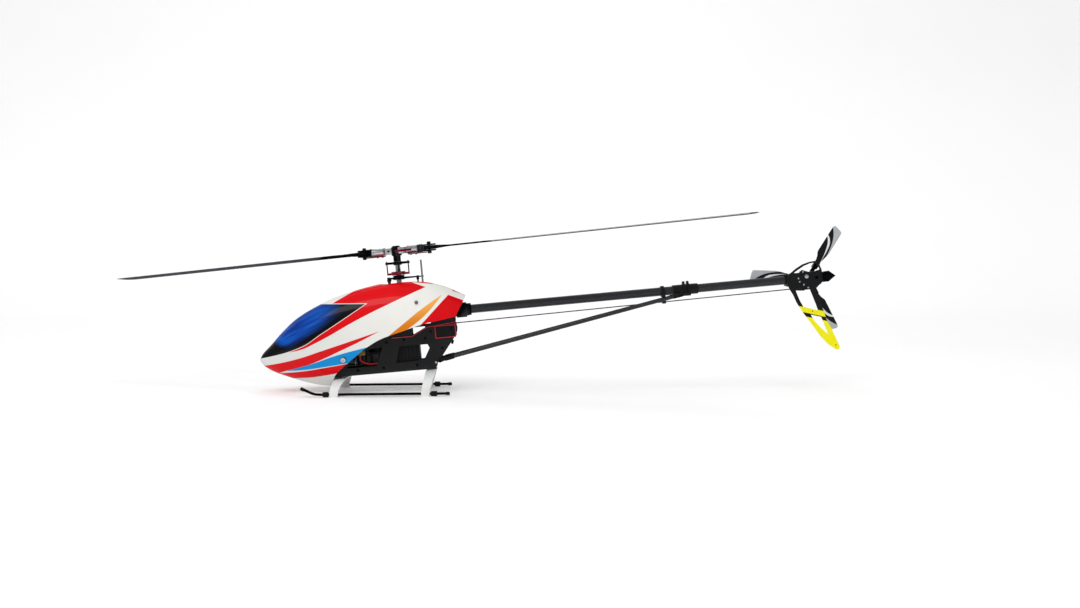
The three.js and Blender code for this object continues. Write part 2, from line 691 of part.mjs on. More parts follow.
function boomBrace(side) {
  const [start, end] = [BRACE_START, BRACE_END].map(
    ([x, y, z]) => new THREE.Vector3(x, side * y, z),
  );
  const at = (t) => start.clone().lerp(end, t).toArray();
  const body = joined(
    rod(at(0.02), at(0.055), 5, 12),
    rod(at(0.04), at(0.97), BRACE_R, 12),
    rod(at(0.96), at(1), 4.5, 12),
    box([start.x - 10, start.x + 14], side < 0
      ? [start.y - 2, start.y + 2.6] : [start.y - 2.6, start.y + 2], [-118, -107]),
  );
  return part(side < 0 ? "boom_brace_left" : "boom_brace_right", body, carbon);
}

function pushrodGuide() {
  const [x0, x1] = GUIDE_CLAMP_X;
  const rodZ = ROD_START.z + ((ROD_END.z - ROD_START.z) * ((x0 + x1) / 2 - ROD_START.x)) /
    (ROD_END.x - ROD_START.x);
  const body = joined(
    rod([x0, 0, 0], [x1, 0, 0], 13.4, 18),
    box(GUIDE_CLAMP_X, [ROD_Y - 3.6, -6], [rodZ - 4, -4]),
  );
  const bore = rod([x0 - 10, 0, 0], [x1 + 12, 0, 0], BOOM_BORE, 24);
  const eye = rod([x0 - 10, ROD_Y, rodZ], [x1 + 12, ROD_Y, rodZ], 2, 10);
  return part("pushrod_guide", cut(body, bore, eye), blackPlastic);
}

function tailGearCase() {
  const body = joined(
    rod([926, 0, 0], [960, 0, 0], 14.8, 18),
    sidePlate([[944, -17], [1009, -17], [1014, -12], [1014, 12], [1009, 15], [944, 15]], -14.5, 14.5),
    cross(TAIL_X, 0, 13, 15.7, 8, 16),
    sidePlate([[1006, -12], [1030, -12], [1048, 1], [1032, 14], [1006, 12]], -14.5, -6),
  );
  const boomBore = rod([920, 0, 0], [BOOM_END + 1, 0, 0], BOOM_BORE, 24);
  const tubeBore = rod([940, 0, 0], [985, 0, 0], 7, 12);
  const cavity = box([984, 1011.5], [-12, 12], [-12, 12]);
  const shaftBore = cross(TAIL_X, 0, -20, 25, 3.8, 12);
  return part("tail_gear_case", cut(body, boomBore, tubeBore, cavity, shaftBore), blackMetal);
}

function tailFin() {
  const outline = [
    [925, -6], [931, -22], [939, -37], [945, -54], [951, -66], [961, -83], [984, -119],
    [1000, -145], [1017, -165], [1034, -178], [1042, -178], [1044, -172], [1035, -148],
    [1027, -127], [1016, -103], [1011, -82], [1004, -62], [1000, -45], [996, -26],
    [1010, -14], [1014, -12], [1014, 18], [1008, 34], [1000, 41],
    [984, 39.5], [967, 35], [950, 26], [937, 17], [926, 7],
  ];
  const upperWindow = [[946, -27], [981, -26], [998, -79.5], [961.5, -67.5], [953, -49]];
  const lowerWindow = [[978, -88], [1004, -96], [1019, -142], [1000, -121], [985, -102]];
  const hoopWindow = [
    [943, 15.5], [958, 24], [971, 31], [985, 35.5], [998, 37], [1005, 31], [1009, 19],
    [996, 16], [983, 15], [965, 22], [955, 14],
  ];
  const body = sidePlate(outline, ...FIN_Y, [upperWindow, lowerWindow, hoopWindow]);
  return part("tail_fin", cut(body, cross(TAIL_X, 0, -20, -10, 4.5, 12)), carbon);
}

/** The tail shaft with its bevel gear and three-armed hub. */
function tailHub() {
  // The bevel's large end is to starboard and its cone point on the boom axis.
  const bevel = bevelGear(BEVEL_WIDTH, Math.PI).rotate([90, 0, 0]).translate([0, BEVEL_R, 0]);
  const shaft = cross(0, 0, -16.5, TAIL_Y + 8, SHAFT_R, 12);
  const hub = cross(0, 0, TAIL_Y - 7, TAIL_Y + 7, 8, 18);
  const bodies = [bevel, shaft, hub, cross(0, 0, BEVEL_R - 1, 11.5, 5.9, 12)];
  for (const angle of TAIL_TURNS) {
    const reach = [27 * Math.cos(angle), TAIL_Y, 27 * Math.sin(angle)];
    bodies.push(rod([0, TAIL_Y, 0], reach, 2, 10));
  }
  return part("tail_hub", joined(...bodies).translate([TAIL_X, 0, 0]), blackMetal);
}

/** The grooved sleeve that the bell crank slides along the tail shaft. */
function tailSlider() {
  const bodies = [
    cross(0, 0, ...SLIDER_Y, 5.6, 16),
    cross(0, 0, SLIDER_Y[0], 22, 8.8, 18),
    cross(0, 0, 27, 29.5, 8.8, 18),
  ];
  const y = SLIDER_ARM_Y;
  for (const turn of TAIL_TURNS) {
    const [c, s] = [Math.cos(turn - TAIL_LINK_TURN), Math.sin(turn - TAIL_LINK_TURN)];
    bodies.push(rod([6 * c, y, 6 * s], [TAIL_LINK_R * c, y, TAIL_LINK_R * s], 1.3, 8));
  }
  const body = cut(joined(...bodies), cross(0, 0, 15, 40, 3.5, 12));
  return part("tail_slider", body.translate([TAIL_X, 0, 0]), blackPlastic);
}

/** A tail grip about local +X; the shaft is local -Z. */
function tailGrip(name) {
  const fork = cut(
    box([28, TAIL_BOLT + 6], [-6.5, 6.5], [-5, 5]),
    box([32.5, TAIL_BOLT + 7], [-8, 8], [-2.4, 2.4]),
  );
  const body = rod([10, 0, 0], [30, 0, 0], 5, 14);
  // The arm drops towards the slider, beside the link's ball.
  const arm = box([TAIL_ARM_X - 3.2, TAIL_ARM_X + 3.2], [0, TAIL_ARM + 2.5], [-2, 2]);
  const bolt = joined(
    post(TAIL_BOLT, 0, -6.5, 5.5, 1.5, 10),
    post(TAIL_BOLT, 0, 4.6, 7, 2.8, 10),
  );
  const bore = rod([9, 0, 0], [29, 0, 0], 2.6, 10);
  return part(name, joined(cut(joined(fork, body, arm), bore), bolt), blackMetal);
}

/** A tail blade about local +X, pivoting on its bolt. */
function tailBlade(name) {
  const outline = [
    [TAIL_BOLT - 5, -3], [TAIL_BOLT - 3, -5], [TAIL_BOLT + 4, -6], [60, -9.5], [68, -14.5],
    [TAIL_RADIUS - 4, -14.5], [TAIL_RADIUS, -10], [TAIL_RADIUS - 5, 12.5], [80, 13.5],
    [58, 9], [TAIL_BOLT + 4, 6], [TAIL_BOLT - 3, 5], [TAIL_BOLT - 5, 3],
  ];
  const body = flatPlate(outline, -1.9, 1.9);
  return part(name, cut(body, post(TAIL_BOLT, 0, -5, 5, 1.9, 10)), carbon);
}

function tailRotorParts() {
  const group = new THREE.Group();
  TAIL_TURNS.forEach((angle, i) => {
    // Local +X runs out along the blade, and local +Z away from the boom.
    const out = new THREE.Vector3(Math.cos(angle), 0, Math.sin(angle));
    const away = new THREE.Vector3(0, 1, 0);
    const across = new THREE.Vector3().crossVectors(away, out);
    const arm = new THREE.Group();
    const turn = new THREE.Matrix4().makeBasis(out, across, away);
    arm.quaternion.setFromRotationMatrix(turn);
    arm.position.set(TAIL_X, TAIL_Y, 0);
    arm.add(tailGrip(`tail_grip_${i + 1}`), tailBlade(`tail_blade_${i + 1}`));
    group.add(arm);
  });
  return group;
}

function bellCrank() {
  const { x, y, z } = CRANK;
  const outline = [
    [x - 4, ROD_Y - 2.6], [x + 4, ROD_Y - 2.6], [x + 5, y - 6], [TAIL_X + 3, y - 3],
    [TAIL_X + 3, y + 3], [x - 3, y + 5], [x - 5, y],
  ];
  const [z0, z1] = [z - 6.5, z - 3.5];
  const body = joined(
    flatPlate(outline, z0, z1),
    post(x, ROD_Y, z0 + 1, z - 1.6, 1.6, 8),
    post(TAIL_X, y + 0.5, z0 + 1, -6.4, 1.5, 8),
    post(x, y, z0, -18.2, 4, 12),
  );
  return part("tail_bell_crank", body, blackPlastic);
}

function tailPushrod() {
  const from = ROD_START.clone().add(new THREE.Vector3(3.2, 0, 0));
  const to = ROD_END.clone().sub(new THREE.Vector3(3, 0, 0));
  const body = joined(
    rod(from.toArray(), to.toArray(), 1.3, 8),
    rod(from.toArray(), [from.x + 22, ROD_Y, from.z + 0.2], 2.2, 8),
    rod([to.x - 20, ROD_Y, to.z], to.toArray(), 2.1, 8),
  );
  return part("tail_pushrod", body, carbon);
}

// ---- canopy and battery -------------------------------------------------

function hullRing(x, inset) {
  const at = (column) => between(STATIONS, x, column);
  const [roof, keel] = [at(1) - inset, at(2) + inset];
  const half = at(3) - inset;
  const middle = (roof + keel) / 2;
  const count = 28;
  const ring = [];
  for (let i = 0; i < count; i += 1) {
    const angle = ((i + 0.5) * 2 * Math.PI) / count;
    const power = 2 / CANOPY_POWER;
    const [c, s] = [Math.cos(angle), Math.sin(angle)];
    ring.push([
      x,
      Math.sign(c) * Math.abs(c) ** power * half,
      middle + (Math.sign(s) * Math.abs(s) ** power * (roof - keel)) / 2,
    ]);
  }
  return ring;
}

function canopy() {
  const xs = STATIONS.map((row) => row[0]);
  const outer = loft(xs.map((x) => hullRing(x, 0)));
  const innerXs = [-331, ...xs.slice(2, -1), 156];
  const rim = STATIONS.at(-1)[0];
  const inner = loft(
    innerXs.map((x) => hullRing(Math.min(x, rim), SHELL).map(([, y, z]) => [x, y, z])),
  );
  // What lies below and behind the side's open edge.
  const edge = [
    [160, 60], [152, 33], [144, 18], [136, 5], [130, -5], [123, -12.5], [83, -18.5],
    [61, -21], [43, -24.5], [20, -30], [-1, -36], [-23, -41], [-53, -50], [-81, -64],
    [-107, -81], [-140, -105], [-160, -121], [-168, -134], [-172, -170], [260, -170], [260, 60],
  ];
  const below = sidePlate(edge.reverse(), -100, 100);
  const slotFront = SLOT_FRONT + SLOT_HALF;
  const slot = joined(
    box([slotFront, 260], [-SLOT_HALF, SLOT_HALF], [0, 130]),
    post(slotFront, 0, 0, 130, SLOT_HALF, 24),
  );
  return part("canopy", cut(outer, inner, below, slot), paint);
}

function battery() {
  return part("battery", box([-268, -120], [-24, 24], [-103.6, -54]), wrap);
}

// ---- landing gear -------------------------------------------------------

/** A skid tube with its bent-up tip and a sleeve behind the foot it clamps. */
function skid(side) {
  const y = side * TRACK;
  const z = SLEEVE_R;
  const path = new THREE.CatmullRomCurve3(
    SKID_LINE.map(([x, rise]) => new THREE.Vector3(x, y, z + rise)),
  );
  const circle = new THREE.Shape().absarc(0, 0, SKID_R, 0, 2 * Math.PI);
  const tube = new THREE.ExtrudeGeometry(circle, {
    steps: 14, curveSegments: 4, extrudePath: path,
  });
  const body = joined(
    solid(tube),
    ...SLEEVES.map(([x0, x1]) => rod([x0, y, z], [x1, y, z], SLEEVE_R, 12)),
  );
  return part(side < 0 ? "skid_left" : "skid_right", body, blackPlastic);
}

/** An arched strut across the model, wider at the top and leaning forward below. */
function strut(name, footX, topX, topZ) {
  const half = STRUT_HALF;
  const steps = 7;
  // A quarter of a squared ellipse from the foot up to the flat top.
  const arc = (reach, height, drop) => {
    const points = [];
    for (let i = 0; i <= steps; i += 1) {
      const angle = (i / steps) * (Math.PI / 2);
      points.push([
        30 + (reach - 30) * Math.cos(angle) ** 0.8,
        drop + (height - drop) * Math.sin(angle) ** 0.9,
      ]);
    }
    return points;
  };
  const outer = arc(TRACK + FOOT_HALF, topZ, 9);
  const inner = arc(TRACK - 1, topZ - 5.5, 12);
  const rightSide = [[TRACK - FOOT_HALF, 0], [TRACK + FOOT_HALF, 0], ...outer];
  const underside = inner.reverse();
  const outline = [
    ...rightSide,
    ...[...outer].reverse().map(([u, v]) => [-u, v]),
    [-TRACK - FOOT_HALF, 0], [-TRACK + FOOT_HALF, 0],
    [-TRACK + FOOT_HALF, 10], ...[...underside].reverse().map(([u, v]) => [-u, v]),
    ...underside, [TRACK - FOOT_HALF, 10],
  ];
  const geometry = thick(outline, 2 * half);
  const [along, up] = [new THREE.Vector3(0, 1, 0), new THREE.Vector3(0, 0, 1)];
  const basis = new THREE.Matrix4().makeBasis(along, up, new THREE.Vector3(1, 0, 0));
  geometry.applyMatrix4(basis);
  const place = geometry.attributes.position;
  for (let i = 0; i < place.count; i += 1) {
    const t = Math.min(Math.max((place.getZ(i) - 10) / (topZ - 10), 0), 1);
    const across = (place.getX(i) - half) * (1 + 0.35 * t);
    place.setX(i, footX + (topX - footX) * t + across);
    place.setZ(i, place.getZ(i) + t * across * Math.tan(NOSE_DOWN));
  }
  const bores = [-1, 1].map((side) =>
    rod(
      [footX - 20, side * TRACK, SLEEVE_R], [footX + 20, side * TRACK, SLEEVE_R],
      SKID_R + 0.4, 14,
    ),
  );
  return part(name, cut(solid(geometry), ...bores), whitePlastic);
}

// ---- assembly -----------------------------------------------------------

const airframe = new THREE.Group();
airframe.rotation.y = -NOSE_DOWN;
airframe.position.set(MAST_X, 0, BOOM_HEIGHT);
airframe.add(
  lowerFrame(-1), lowerFrame(1), upperFrame(-1), upperFrame(1), bottomPlate(),
  bearingBlock("upper_bearing_block", 38, 49), bearingBlock("lower_bearing_block", -5, 5),
  motorMount(), boomBlock(), batteryTray(), speedController(), powerLeads(), flightController(),
  servo("cyclic_servo_left", { ...LEFT_SERVO, tail: -75 }),
  servo("cyclic_servo_right", { ...RIGHT_SERVO, tail: -75 }),
  servo("cyclic_servo_rear", { ...REAR_SERVO, tail: 55 }),
  servo("tail_servo", { ...TAIL_SERVO, tail: 70 }),
  antiRotationGuide(), mainShaft(), mainGear(), motorRotor(), tailDriveShaft(), torqueTube(),
  servoArm("servo_arm_left", { ...LEFT_SERVO, dx: SERVO_ARM }),
  servoArm("servo_arm_right", { ...RIGHT_SERVO, dx: SERVO_ARM }),
  servoArm("servo_arm_rear", { ...REAR_SERVO, dx: -SERVO_ARM }),
  servoArm("tail_servo_arm", { ...TAIL_SERVO, dz: TAIL_SERVO_ARM }),
  swashInner(), rotorParts(), tailBoom(), braceClamp(), boomBrace(-1), boomBrace(1),
  pushrodGuide(), tailGearCase(), tailFin(), tailHub(), tailSlider(), tailRotorParts(),
  bellCrank(), tailPushrod(), canopy(), battery(),
);

const model = new THREE.Group();
const ground = new THREE.Group();
ground.position.x = MAST_X;
ground.add(
  skid(-1), skid(1),
  strut("front_strut", FRONT_FOOT_X, -140, 35.2), strut("rear_strut", REAR_FOOT_X, 69, 53.5),
);
model.add(airframe, ground);

export default model;
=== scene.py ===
import json
import math

import bmesh
import bpy
from mathutils import Matrix, Vector

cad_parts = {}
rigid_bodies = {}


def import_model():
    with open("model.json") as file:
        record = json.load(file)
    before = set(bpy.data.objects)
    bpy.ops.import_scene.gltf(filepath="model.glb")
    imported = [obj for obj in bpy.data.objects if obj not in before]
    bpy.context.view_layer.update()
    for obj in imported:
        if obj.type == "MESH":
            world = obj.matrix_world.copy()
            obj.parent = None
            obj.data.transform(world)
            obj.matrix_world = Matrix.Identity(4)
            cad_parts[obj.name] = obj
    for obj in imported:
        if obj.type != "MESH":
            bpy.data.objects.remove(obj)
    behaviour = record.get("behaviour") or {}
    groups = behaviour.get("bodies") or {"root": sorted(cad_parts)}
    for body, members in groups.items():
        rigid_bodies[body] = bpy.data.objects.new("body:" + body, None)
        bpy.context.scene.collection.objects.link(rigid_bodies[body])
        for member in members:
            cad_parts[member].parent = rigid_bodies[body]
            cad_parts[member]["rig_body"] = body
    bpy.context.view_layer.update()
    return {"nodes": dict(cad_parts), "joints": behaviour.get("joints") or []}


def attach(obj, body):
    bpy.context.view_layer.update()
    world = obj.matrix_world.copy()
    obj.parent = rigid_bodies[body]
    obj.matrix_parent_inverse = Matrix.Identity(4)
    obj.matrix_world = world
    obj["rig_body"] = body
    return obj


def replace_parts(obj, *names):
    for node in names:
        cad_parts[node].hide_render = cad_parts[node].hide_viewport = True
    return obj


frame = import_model()

MM = 0.001
PORT = -1
STARBOARD = 1
SIDES = (PORT, STARBOARD)


# ---- places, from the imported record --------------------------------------

def joint(name):
    return next(j for j in frame["joints"] if j["name"] == name)


def basis(x, y, z, origin):
    """A placement from three axes and an origin, all in the row frame."""
    made = Matrix((x, y, z)).transposed().to_4x4()
    made.translation = origin
    return made


MAST = joint("main_rotor_spin")
UP = Vector(MAST["axis"])
AFT = Vector(joint("drive_tube_spin")["axis"])
ACROSS = Vector((0, 1, 0))
AIRFRAME = basis(AFT, ACROSS, UP, Vector(MAST["pos_m"]))
ROW = Matrix.Identity(4)


def along_joint(name, side):
    """A frame whose x runs out along a feathering axis, and whose z is a hinge's axis."""
    feather = joint(name)
    x = Vector(feather["axis"])
    z = Vector(joint(side)["axis"])
    return basis(x, z.cross(x), z, Vector(feather["pos_m"]))


GRIPS = {
    letter: along_joint(f"grip_{letter}_feather", f"blade_{letter}_fold") for letter in "ab"}
# A tail grip's local z is away from the boom, and 0 at the rotor's plane.
TAIL_GRIPS = {
    letter: along_joint(f"tail_grip_{letter}_feather", f"tail_blade_{letter}_pivot")
    for letter in "abc"}


# ---- node materials -------------------------------------------------------

def srgb(text):
    """A linear colour from its hexadecimal sRGB text."""
    parts = [int(text[i:i + 2], 16) / 255 for i in (0, 2, 4)]
    return (*[c / 12.92 if c < 0.04045 else ((c + 0.055) / 1.055) ** 2.4 for c in parts], 1)


class Look:
    """A material in the making, with short names for the nodes that it uses."""

    def __init__(self, name, metallic=0.0, coat=0.0, coat_roughness=0.1, specular=0.5):
        self.material = bpy.data.materials.new(name)
        self.material.use_nodes = True
        self.tree = self.material.node_tree
        self.shader = self.tree.nodes["Principled BSDF"]
        self.shader.inputs["Metallic"].default_value = metallic
        self.shader.inputs["Coat Weight"].default_value = coat
        self.shader.inputs["Coat Roughness"].default_value = coat_roughness
        self.shader.inputs["Specular IOR Level"].default_value = specular
        self.where = self.node("TexCoord").outputs["Object"]
        axes = self.node("SeparateXYZ", {0: self.where}).outputs
        # Millimetres along the piece's own axes.
        self.x, self.y, self.z = [self.math("DIVIDE", a, MM) for a in axes]

    def put(self, socket, value):
        if isinstance(value, bpy.types.NodeSocket):
            self.tree.links.new(value, socket)
        else:
            socket.default_value = value

    def node(self, kind, inputs=None, **settings):
        made = self.tree.nodes.new("ShaderNode" + kind)
        for key, value in settings.items():
            setattr(made, key, value)
        for key, value in (inputs or {}).items():
            self.put(made.inputs[key], value)
        return made

    def math(self, operation, *values):
        made = self.node("Math", operation=operation)
        for socket, value in zip(made.inputs, values):
            self.put(socket, value)
        return made.outputs[0]

    def step(self, value, low, high):
        """0 where value is at low, 1 at high, smooth in between."""
        ends = {"Value": value, "From Min": low, "From Max": high}
        return self.node("MapRange", ends, interpolation_type="SMOOTHSTEP").outputs[0]

    def sized(self, value, low, high):
        """A share from 0 to 1 as a number from low to high."""
        return self.node("MapRange", {"Value": value, "To Min": low, "To Max": high}).outputs[0]

    def noise(self, size, detail=3.0, stretch=(1, 1, 1)):
        """Soft noise whose features are about size mm across."""
        place = self.node("Mapping", {"Vector": self.where, "Scale": stretch})
        settings = {"Vector": place.outputs[0], "Scale": 1 / (size * MM), "Detail": detail}
        return self.node("TexNoise", settings).outputs["Fac"]

    def streaks(self, size, slope, thin=0.12):
        """Noise drawn out into streaks that climb by slope in the side view."""
        turn = math.atan(slope)
        c, s = math.cos(turn), math.sin(turn)
        along = self.math("MULTIPLY_ADD", self.x, c, self.math("MULTIPLY", self.z, s))
        across = self.math("MULTIPLY_ADD", self.z, c, self.math("MULTIPLY", self.x, -s))
        place = self.node("CombineXYZ", {
            0: self.math("MULTIPLY", along, thin), 1: self.math("MULTIPLY", self.y, 0.3),
            2: across})
        settings = {"Vector": place.outputs[0], "Scale": 1 / size, "Detail": 4.0}
        return self.node("TexNoise", settings).outputs["Fac"]

    def mix(self, share, a, b):
        """A colour between two, each a socket or hexadecimal text."""
        made = self.node("Mix", data_type="RGBA")
        for index, value in ((0, share), (6, a), (7, b)):
            self.put(made.inputs[index], srgb(value) if isinstance(value, str) else value)
        return made.outputs[2]

    def clouds(self, size, a, b):
        """Two colours, clouded together by noise of size mm."""
        return self.mix(self.noise(size), a, b)

    def flip(self, value):
        return self.math("MULTIPLY", value, -1)

    def least(self, first, *others):
        for other in others:
            first = self.math("MINIMUM", first, other)
        return first

    def line(self, a, b):
        """Distance above the line from a to b, in the side view's x and z."""
        (ax, az), (bx, bz) = a, b
        long = math.hypot(bx - ax, bz - az)
        nx, nz = -(bz - az) / long, (bx - ax) / long
        left = self.math("MULTIPLY", self.x, nx)
        whole = self.math("MULTIPLY_ADD", self.z, nz, left)
        return self.math("SUBTRACT", whole, nx * ax + nz * az)

    def curve(self, points, across=None):
        """Height above a smooth curve through points, of z or of the value across."""
        xs, zs = zip(*points)
        x0, x1, z0, z1 = min(xs), max(xs), min(zs) - 1, max(zs) + 1
        made = self.node("FloatCurve")
        made.mapping.extend = "EXTRAPOLATED"
        dots = made.mapping.curves[0].points
        while len(dots) < len(points):
            dots.new(0.5, 0.5)
        for dot, (x, z) in zip(dots, points):
            dot.location = ((x - x0) / (x1 - x0), (z - z0) / (z1 - z0))
        made.mapping.use_clip = False
        made.mapping.update()
        share = self.math("DIVIDE", self.math("SUBTRACT", self.x, x0), x1 - x0)
        self.put(made.inputs["Value"], share)
        height = self.math("MULTIPLY_ADD", made.outputs[0], z1 - z0, z0)
        return self.math("SUBTRACT", self.z if across is None else across, height)

    def inside(self, distance, soft=0.25):
        """1 where a signed distance in mm is positive, with an edge of soft mm."""
        return self.step(distance, -soft, soft)

    def bump(self, height, strength, depth):
        made = self.node(
            "Bump", {"Height": height, "Strength": strength, "Distance": depth * MM})
        self.put(self.shader.inputs["Normal"], made.outputs[0])

    def edges(self, low=0.52, high=0.6):
        """1 on sharp outer edges, broken up by noise, where handling wears them."""
        point = self.node("NewGeometry").outputs["Pointiness"]
        return self.math("MULTIPLY", self.step(point, low, high), self.noise(3))

    def finish(self, color, roughness):
        self.put(self.shader.inputs["Base Color"], color)
        self.put(self.shader.inputs["Roughness"], roughness)
        return self.material


def weave(look, u, v, tow):
    """A 2 by 2 twill: which yarn is on top, and the height of its round back."""
    cells = [look.math("FLOOR", look.math("DIVIDE", a, tow)) for a in (u, v)]
    diagonal = look.math("FLOORED_MODULO", look.math("ADD", *cells), 4)
    over = look.math("LESS_THAN", diagonal, 2)
    round_u = look.math("PINGPONG", u, tow / 2)
    round_v = look.math("PINGPONG", v, tow / 2)
    height = look.node("Mix", {0: over}, data_type="FLOAT")
    look.put(height.inputs[2], round_v)
    look.put(height.inputs[3], round_u)
    return over, height.outputs[0]


def carbon(name, plane, tow=1.6, gloss=0.35):
    """Lacquered carbon cloth, lying in the side, flat or tube plane of the airframe."""
    look = Look(name, coat=gloss, coat_roughness=0.12, specular=0.12)
    if plane == "side":
        u, v = look.x, look.z
    elif plane == "flat":
        u, v = look.x, look.y
    else:
        u = look.x
        v = look.math("MULTIPLY", look.math("ARCTAN2", look.z, look.y), 10)
    over, height = weave(look, u, v, tow)
    yarn = look.mix(over, "0b0c0d", "16171a")
    cloudy = look.sized(look.noise(18), 0.0, 0.35)
    color = look.mix(cloudy, yarn, "111214")
    color = look.mix(look.edges(), color, "3a3c40")
    look.bump(height, 0.25, 0.12)
    return look.finish(color, look.sized(look.noise(6), 0.3, 0.46))


def anodised(name, color, dark, roughness=0.32, grain=0.5, wear=0.4):
    """Dyed aluminium: fine machining lines, cloudy dye and bright worn edges."""
    look = Look(name, metallic=1.0)
    lines = look.noise(grain, detail=2, stretch=(0.12, 1, 1))
    tone = look.mix(look.sized(look.noise(14), 0.0, 0.7), color, dark)
    worn = look.math("MULTIPLY", look.edges(0.54, 0.66), wear)
    tone = look.mix(worn, tone, "b9bbbe")
    look.bump(lines, 0.12, 0.05)
    return look.finish(tone, look.sized(lines, roughness - 0.07, roughness + 0.12))


def plastic(name, color, dark, roughness, grain=0.35, scuff="8a8a8a", specular=0.35):
    """Moulded plastic: spark-eroded grain, faint clouds and scuffed corners."""
    look = Look(name, specular=specular)
    fine = look.noise(grain, detail=4)
    tone = look.clouds(22, color, dark)
    tone = look.mix(look.edges(0.54, 0.66), tone, scuff)
    look.bump(fine, 0.16, 0.06)
    return look.finish(tone, look.sized(fine, roughness - 0.08, roughness + 0.1))


# Boundaries of the canopy's paint in the side view: x and z in mm.
SCREEN_LOW = [(-330, -70), (-235, -51), (-185, -25), (-70, 39)]
SCREEN_REAR = [(-180, 43), (-78, 35)]
SCREEN_FRONT = [(-295, -34), (-262, -52)]
ROOF_LOW = [(-275, -61), (-235, -57), (-200, -45), (-90, 4), (0, 39), (90, 71)]
ROOF_FRONT = [(-152, 44), (-105, 67)]
NOTCH = (30, 76)
NOTCH_HIGH = (85, 66)
NOTCH_LOW = (61, 62)
LONG_HIGH = [(-340, -89), (-260, -80), (-180, -62), (-50, -30)]
LONG_LOW = [(-340, -126), (-280, -104), (-240, -98), (-135, -64), (-50, -30)]
CYAN_HIGH = [(-270, -102), (-215, -92), (-150, -76), (-60, -61)]
CYAN_LOW = [(-270, -103), (-235, -104), (-185, -101), (-110, -95)]
KEEL_HIGH = [(-300, -108), (-235, -107), (-185, -103), (-110, -96)]
KEEL_LOW = [(-300, -128), (-260, -123), (-215, -123), (-110, -109)]
AMBER_HIGH = [(-50, -56), (0, -22), (50, 12), (98, 40)]
AMBER_LOW = [(-40, -52), (25, -25), (98, 39)]
TAIL_RED_TOP = [(113, 39), (145, 24)]
TAIL_RED_FRONT = [(45, -24), (113, 39)]
TAIL_LINE = [(123, 49), (153, 36)]
OUTLINE = 1.5  # of white round the windscreen
STRIPE_HALF = 1.6


def windscreen(look, low):
    """The painted windscreen: royal blue, streaked into black at its edges."""
    streaks = look.streaks(22, 0.42)
    edge = look.math("ADD", low, look.sized(streaks, -18, 18))
    fade = look.step(edge, 6, 36)
    behind = look.math("ADD", look.x, look.sized(streaks, -70, 70))
    fade = look.math("MULTIPLY", fade, look.step(behind, -122, -190))
    ahead = look.math("ADD", look.line(*SCREEN_FRONT), look.sized(streaks, -6, 6))
    fade = look.math("MULTIPLY", fade, look.step(ahead, -7, 12))
    light = look.step(look.streaks(12, 0.42, 0.07), 0.38, 0.62)
    deep = look.mix(light, "0a2c80", "0b55b4")
    return look.mix(fade, "050609", deep)


def canopy_paint():
    """White lacquer with painted shade greying it towards the nose, and the red, blue and amber
    flashes of the canopy.
    """
    look = Look("canopy_paint", coat=0.18, coat_roughness=0.06, specular=0.06)
    pale = look.clouds(60, "e9e7e2", "e2e1dc")
    # Painted shade: the white greys from the rear towards the nose.
    white = look.mix(look.step(look.x, -330, 90), "d2d3cf", pale)
    red = look.clouds(50, "dc0812", "c40812")
    cyan = look.clouds(50, "0a90d6", "0880c4")
    low = look.curve(SCREEN_LOW)
    screen = look.least(low, look.flip(look.line(*SCREEN_REAR)))
    around = look.math("ADD", screen, OUTLINE)
    notch = look.least(
        look.flip(look.line(NOTCH, NOTCH_HIGH)), look.line(NOTCH, NOTCH_LOW)
    )
    roof = look.least(
        look.curve(ROOF_LOW),
        look.flip(look.line(*ROOF_FRONT)),
        look.flip(notch),
        look.flip(around),
    )

    def band(high, bottom):
        return look.least(look.flip(look.curve(high)), look.curve(bottom))

    ahead = look.math("SUBTRACT", AMBER_HIGH[-1][0], look.x)
    amber = look.least(band(AMBER_HIGH, AMBER_LOW), ahead)
    amber_tone = look.mix(look.step(look.z, -35, 40), "d2740e", "eead55")
    rear = look.math("MULTIPLY", look.math(
        "MAXIMUM", look.line(*TAIL_RED_TOP), look.line(*TAIL_RED_FRONT)), -1)
    away = look.math("ABSOLUTE", look.line(*TAIL_LINE))
    behind = look.math("SUBTRACT", look.x, TAIL_LINE[0][0])
    stripe = look.least(look.math("SUBTRACT", STRIPE_HALF, away), behind)
    color = white
    layers = [
        (roof, red), (band(LONG_HIGH, LONG_LOW), red), (band(CYAN_HIGH, CYAN_LOW), cyan),
        (band(KEEL_HIGH, KEEL_LOW), red), (amber, amber_tone), (rear, red), (stripe, red),
    ]
    for distance, tone in layers:
        color = look.mix(look.inside(distance), color, tone)
    color = look.mix(look.inside(screen), color, windscreen(look, low))
    color = look.mix(look.edges(0.56, 0.7), color, "c9ccd0")
    look.bump(look.noise(9), 0.06, 0.2)
    return look.finish(color, look.sized(look.noise(30), 0.18, 0.3))


# A main blade's pale top runs from a slanting line at the root to a line near the tip.
PALE_FROM, PALE_SLANT, PALE_TO = 232, 1.4, 829


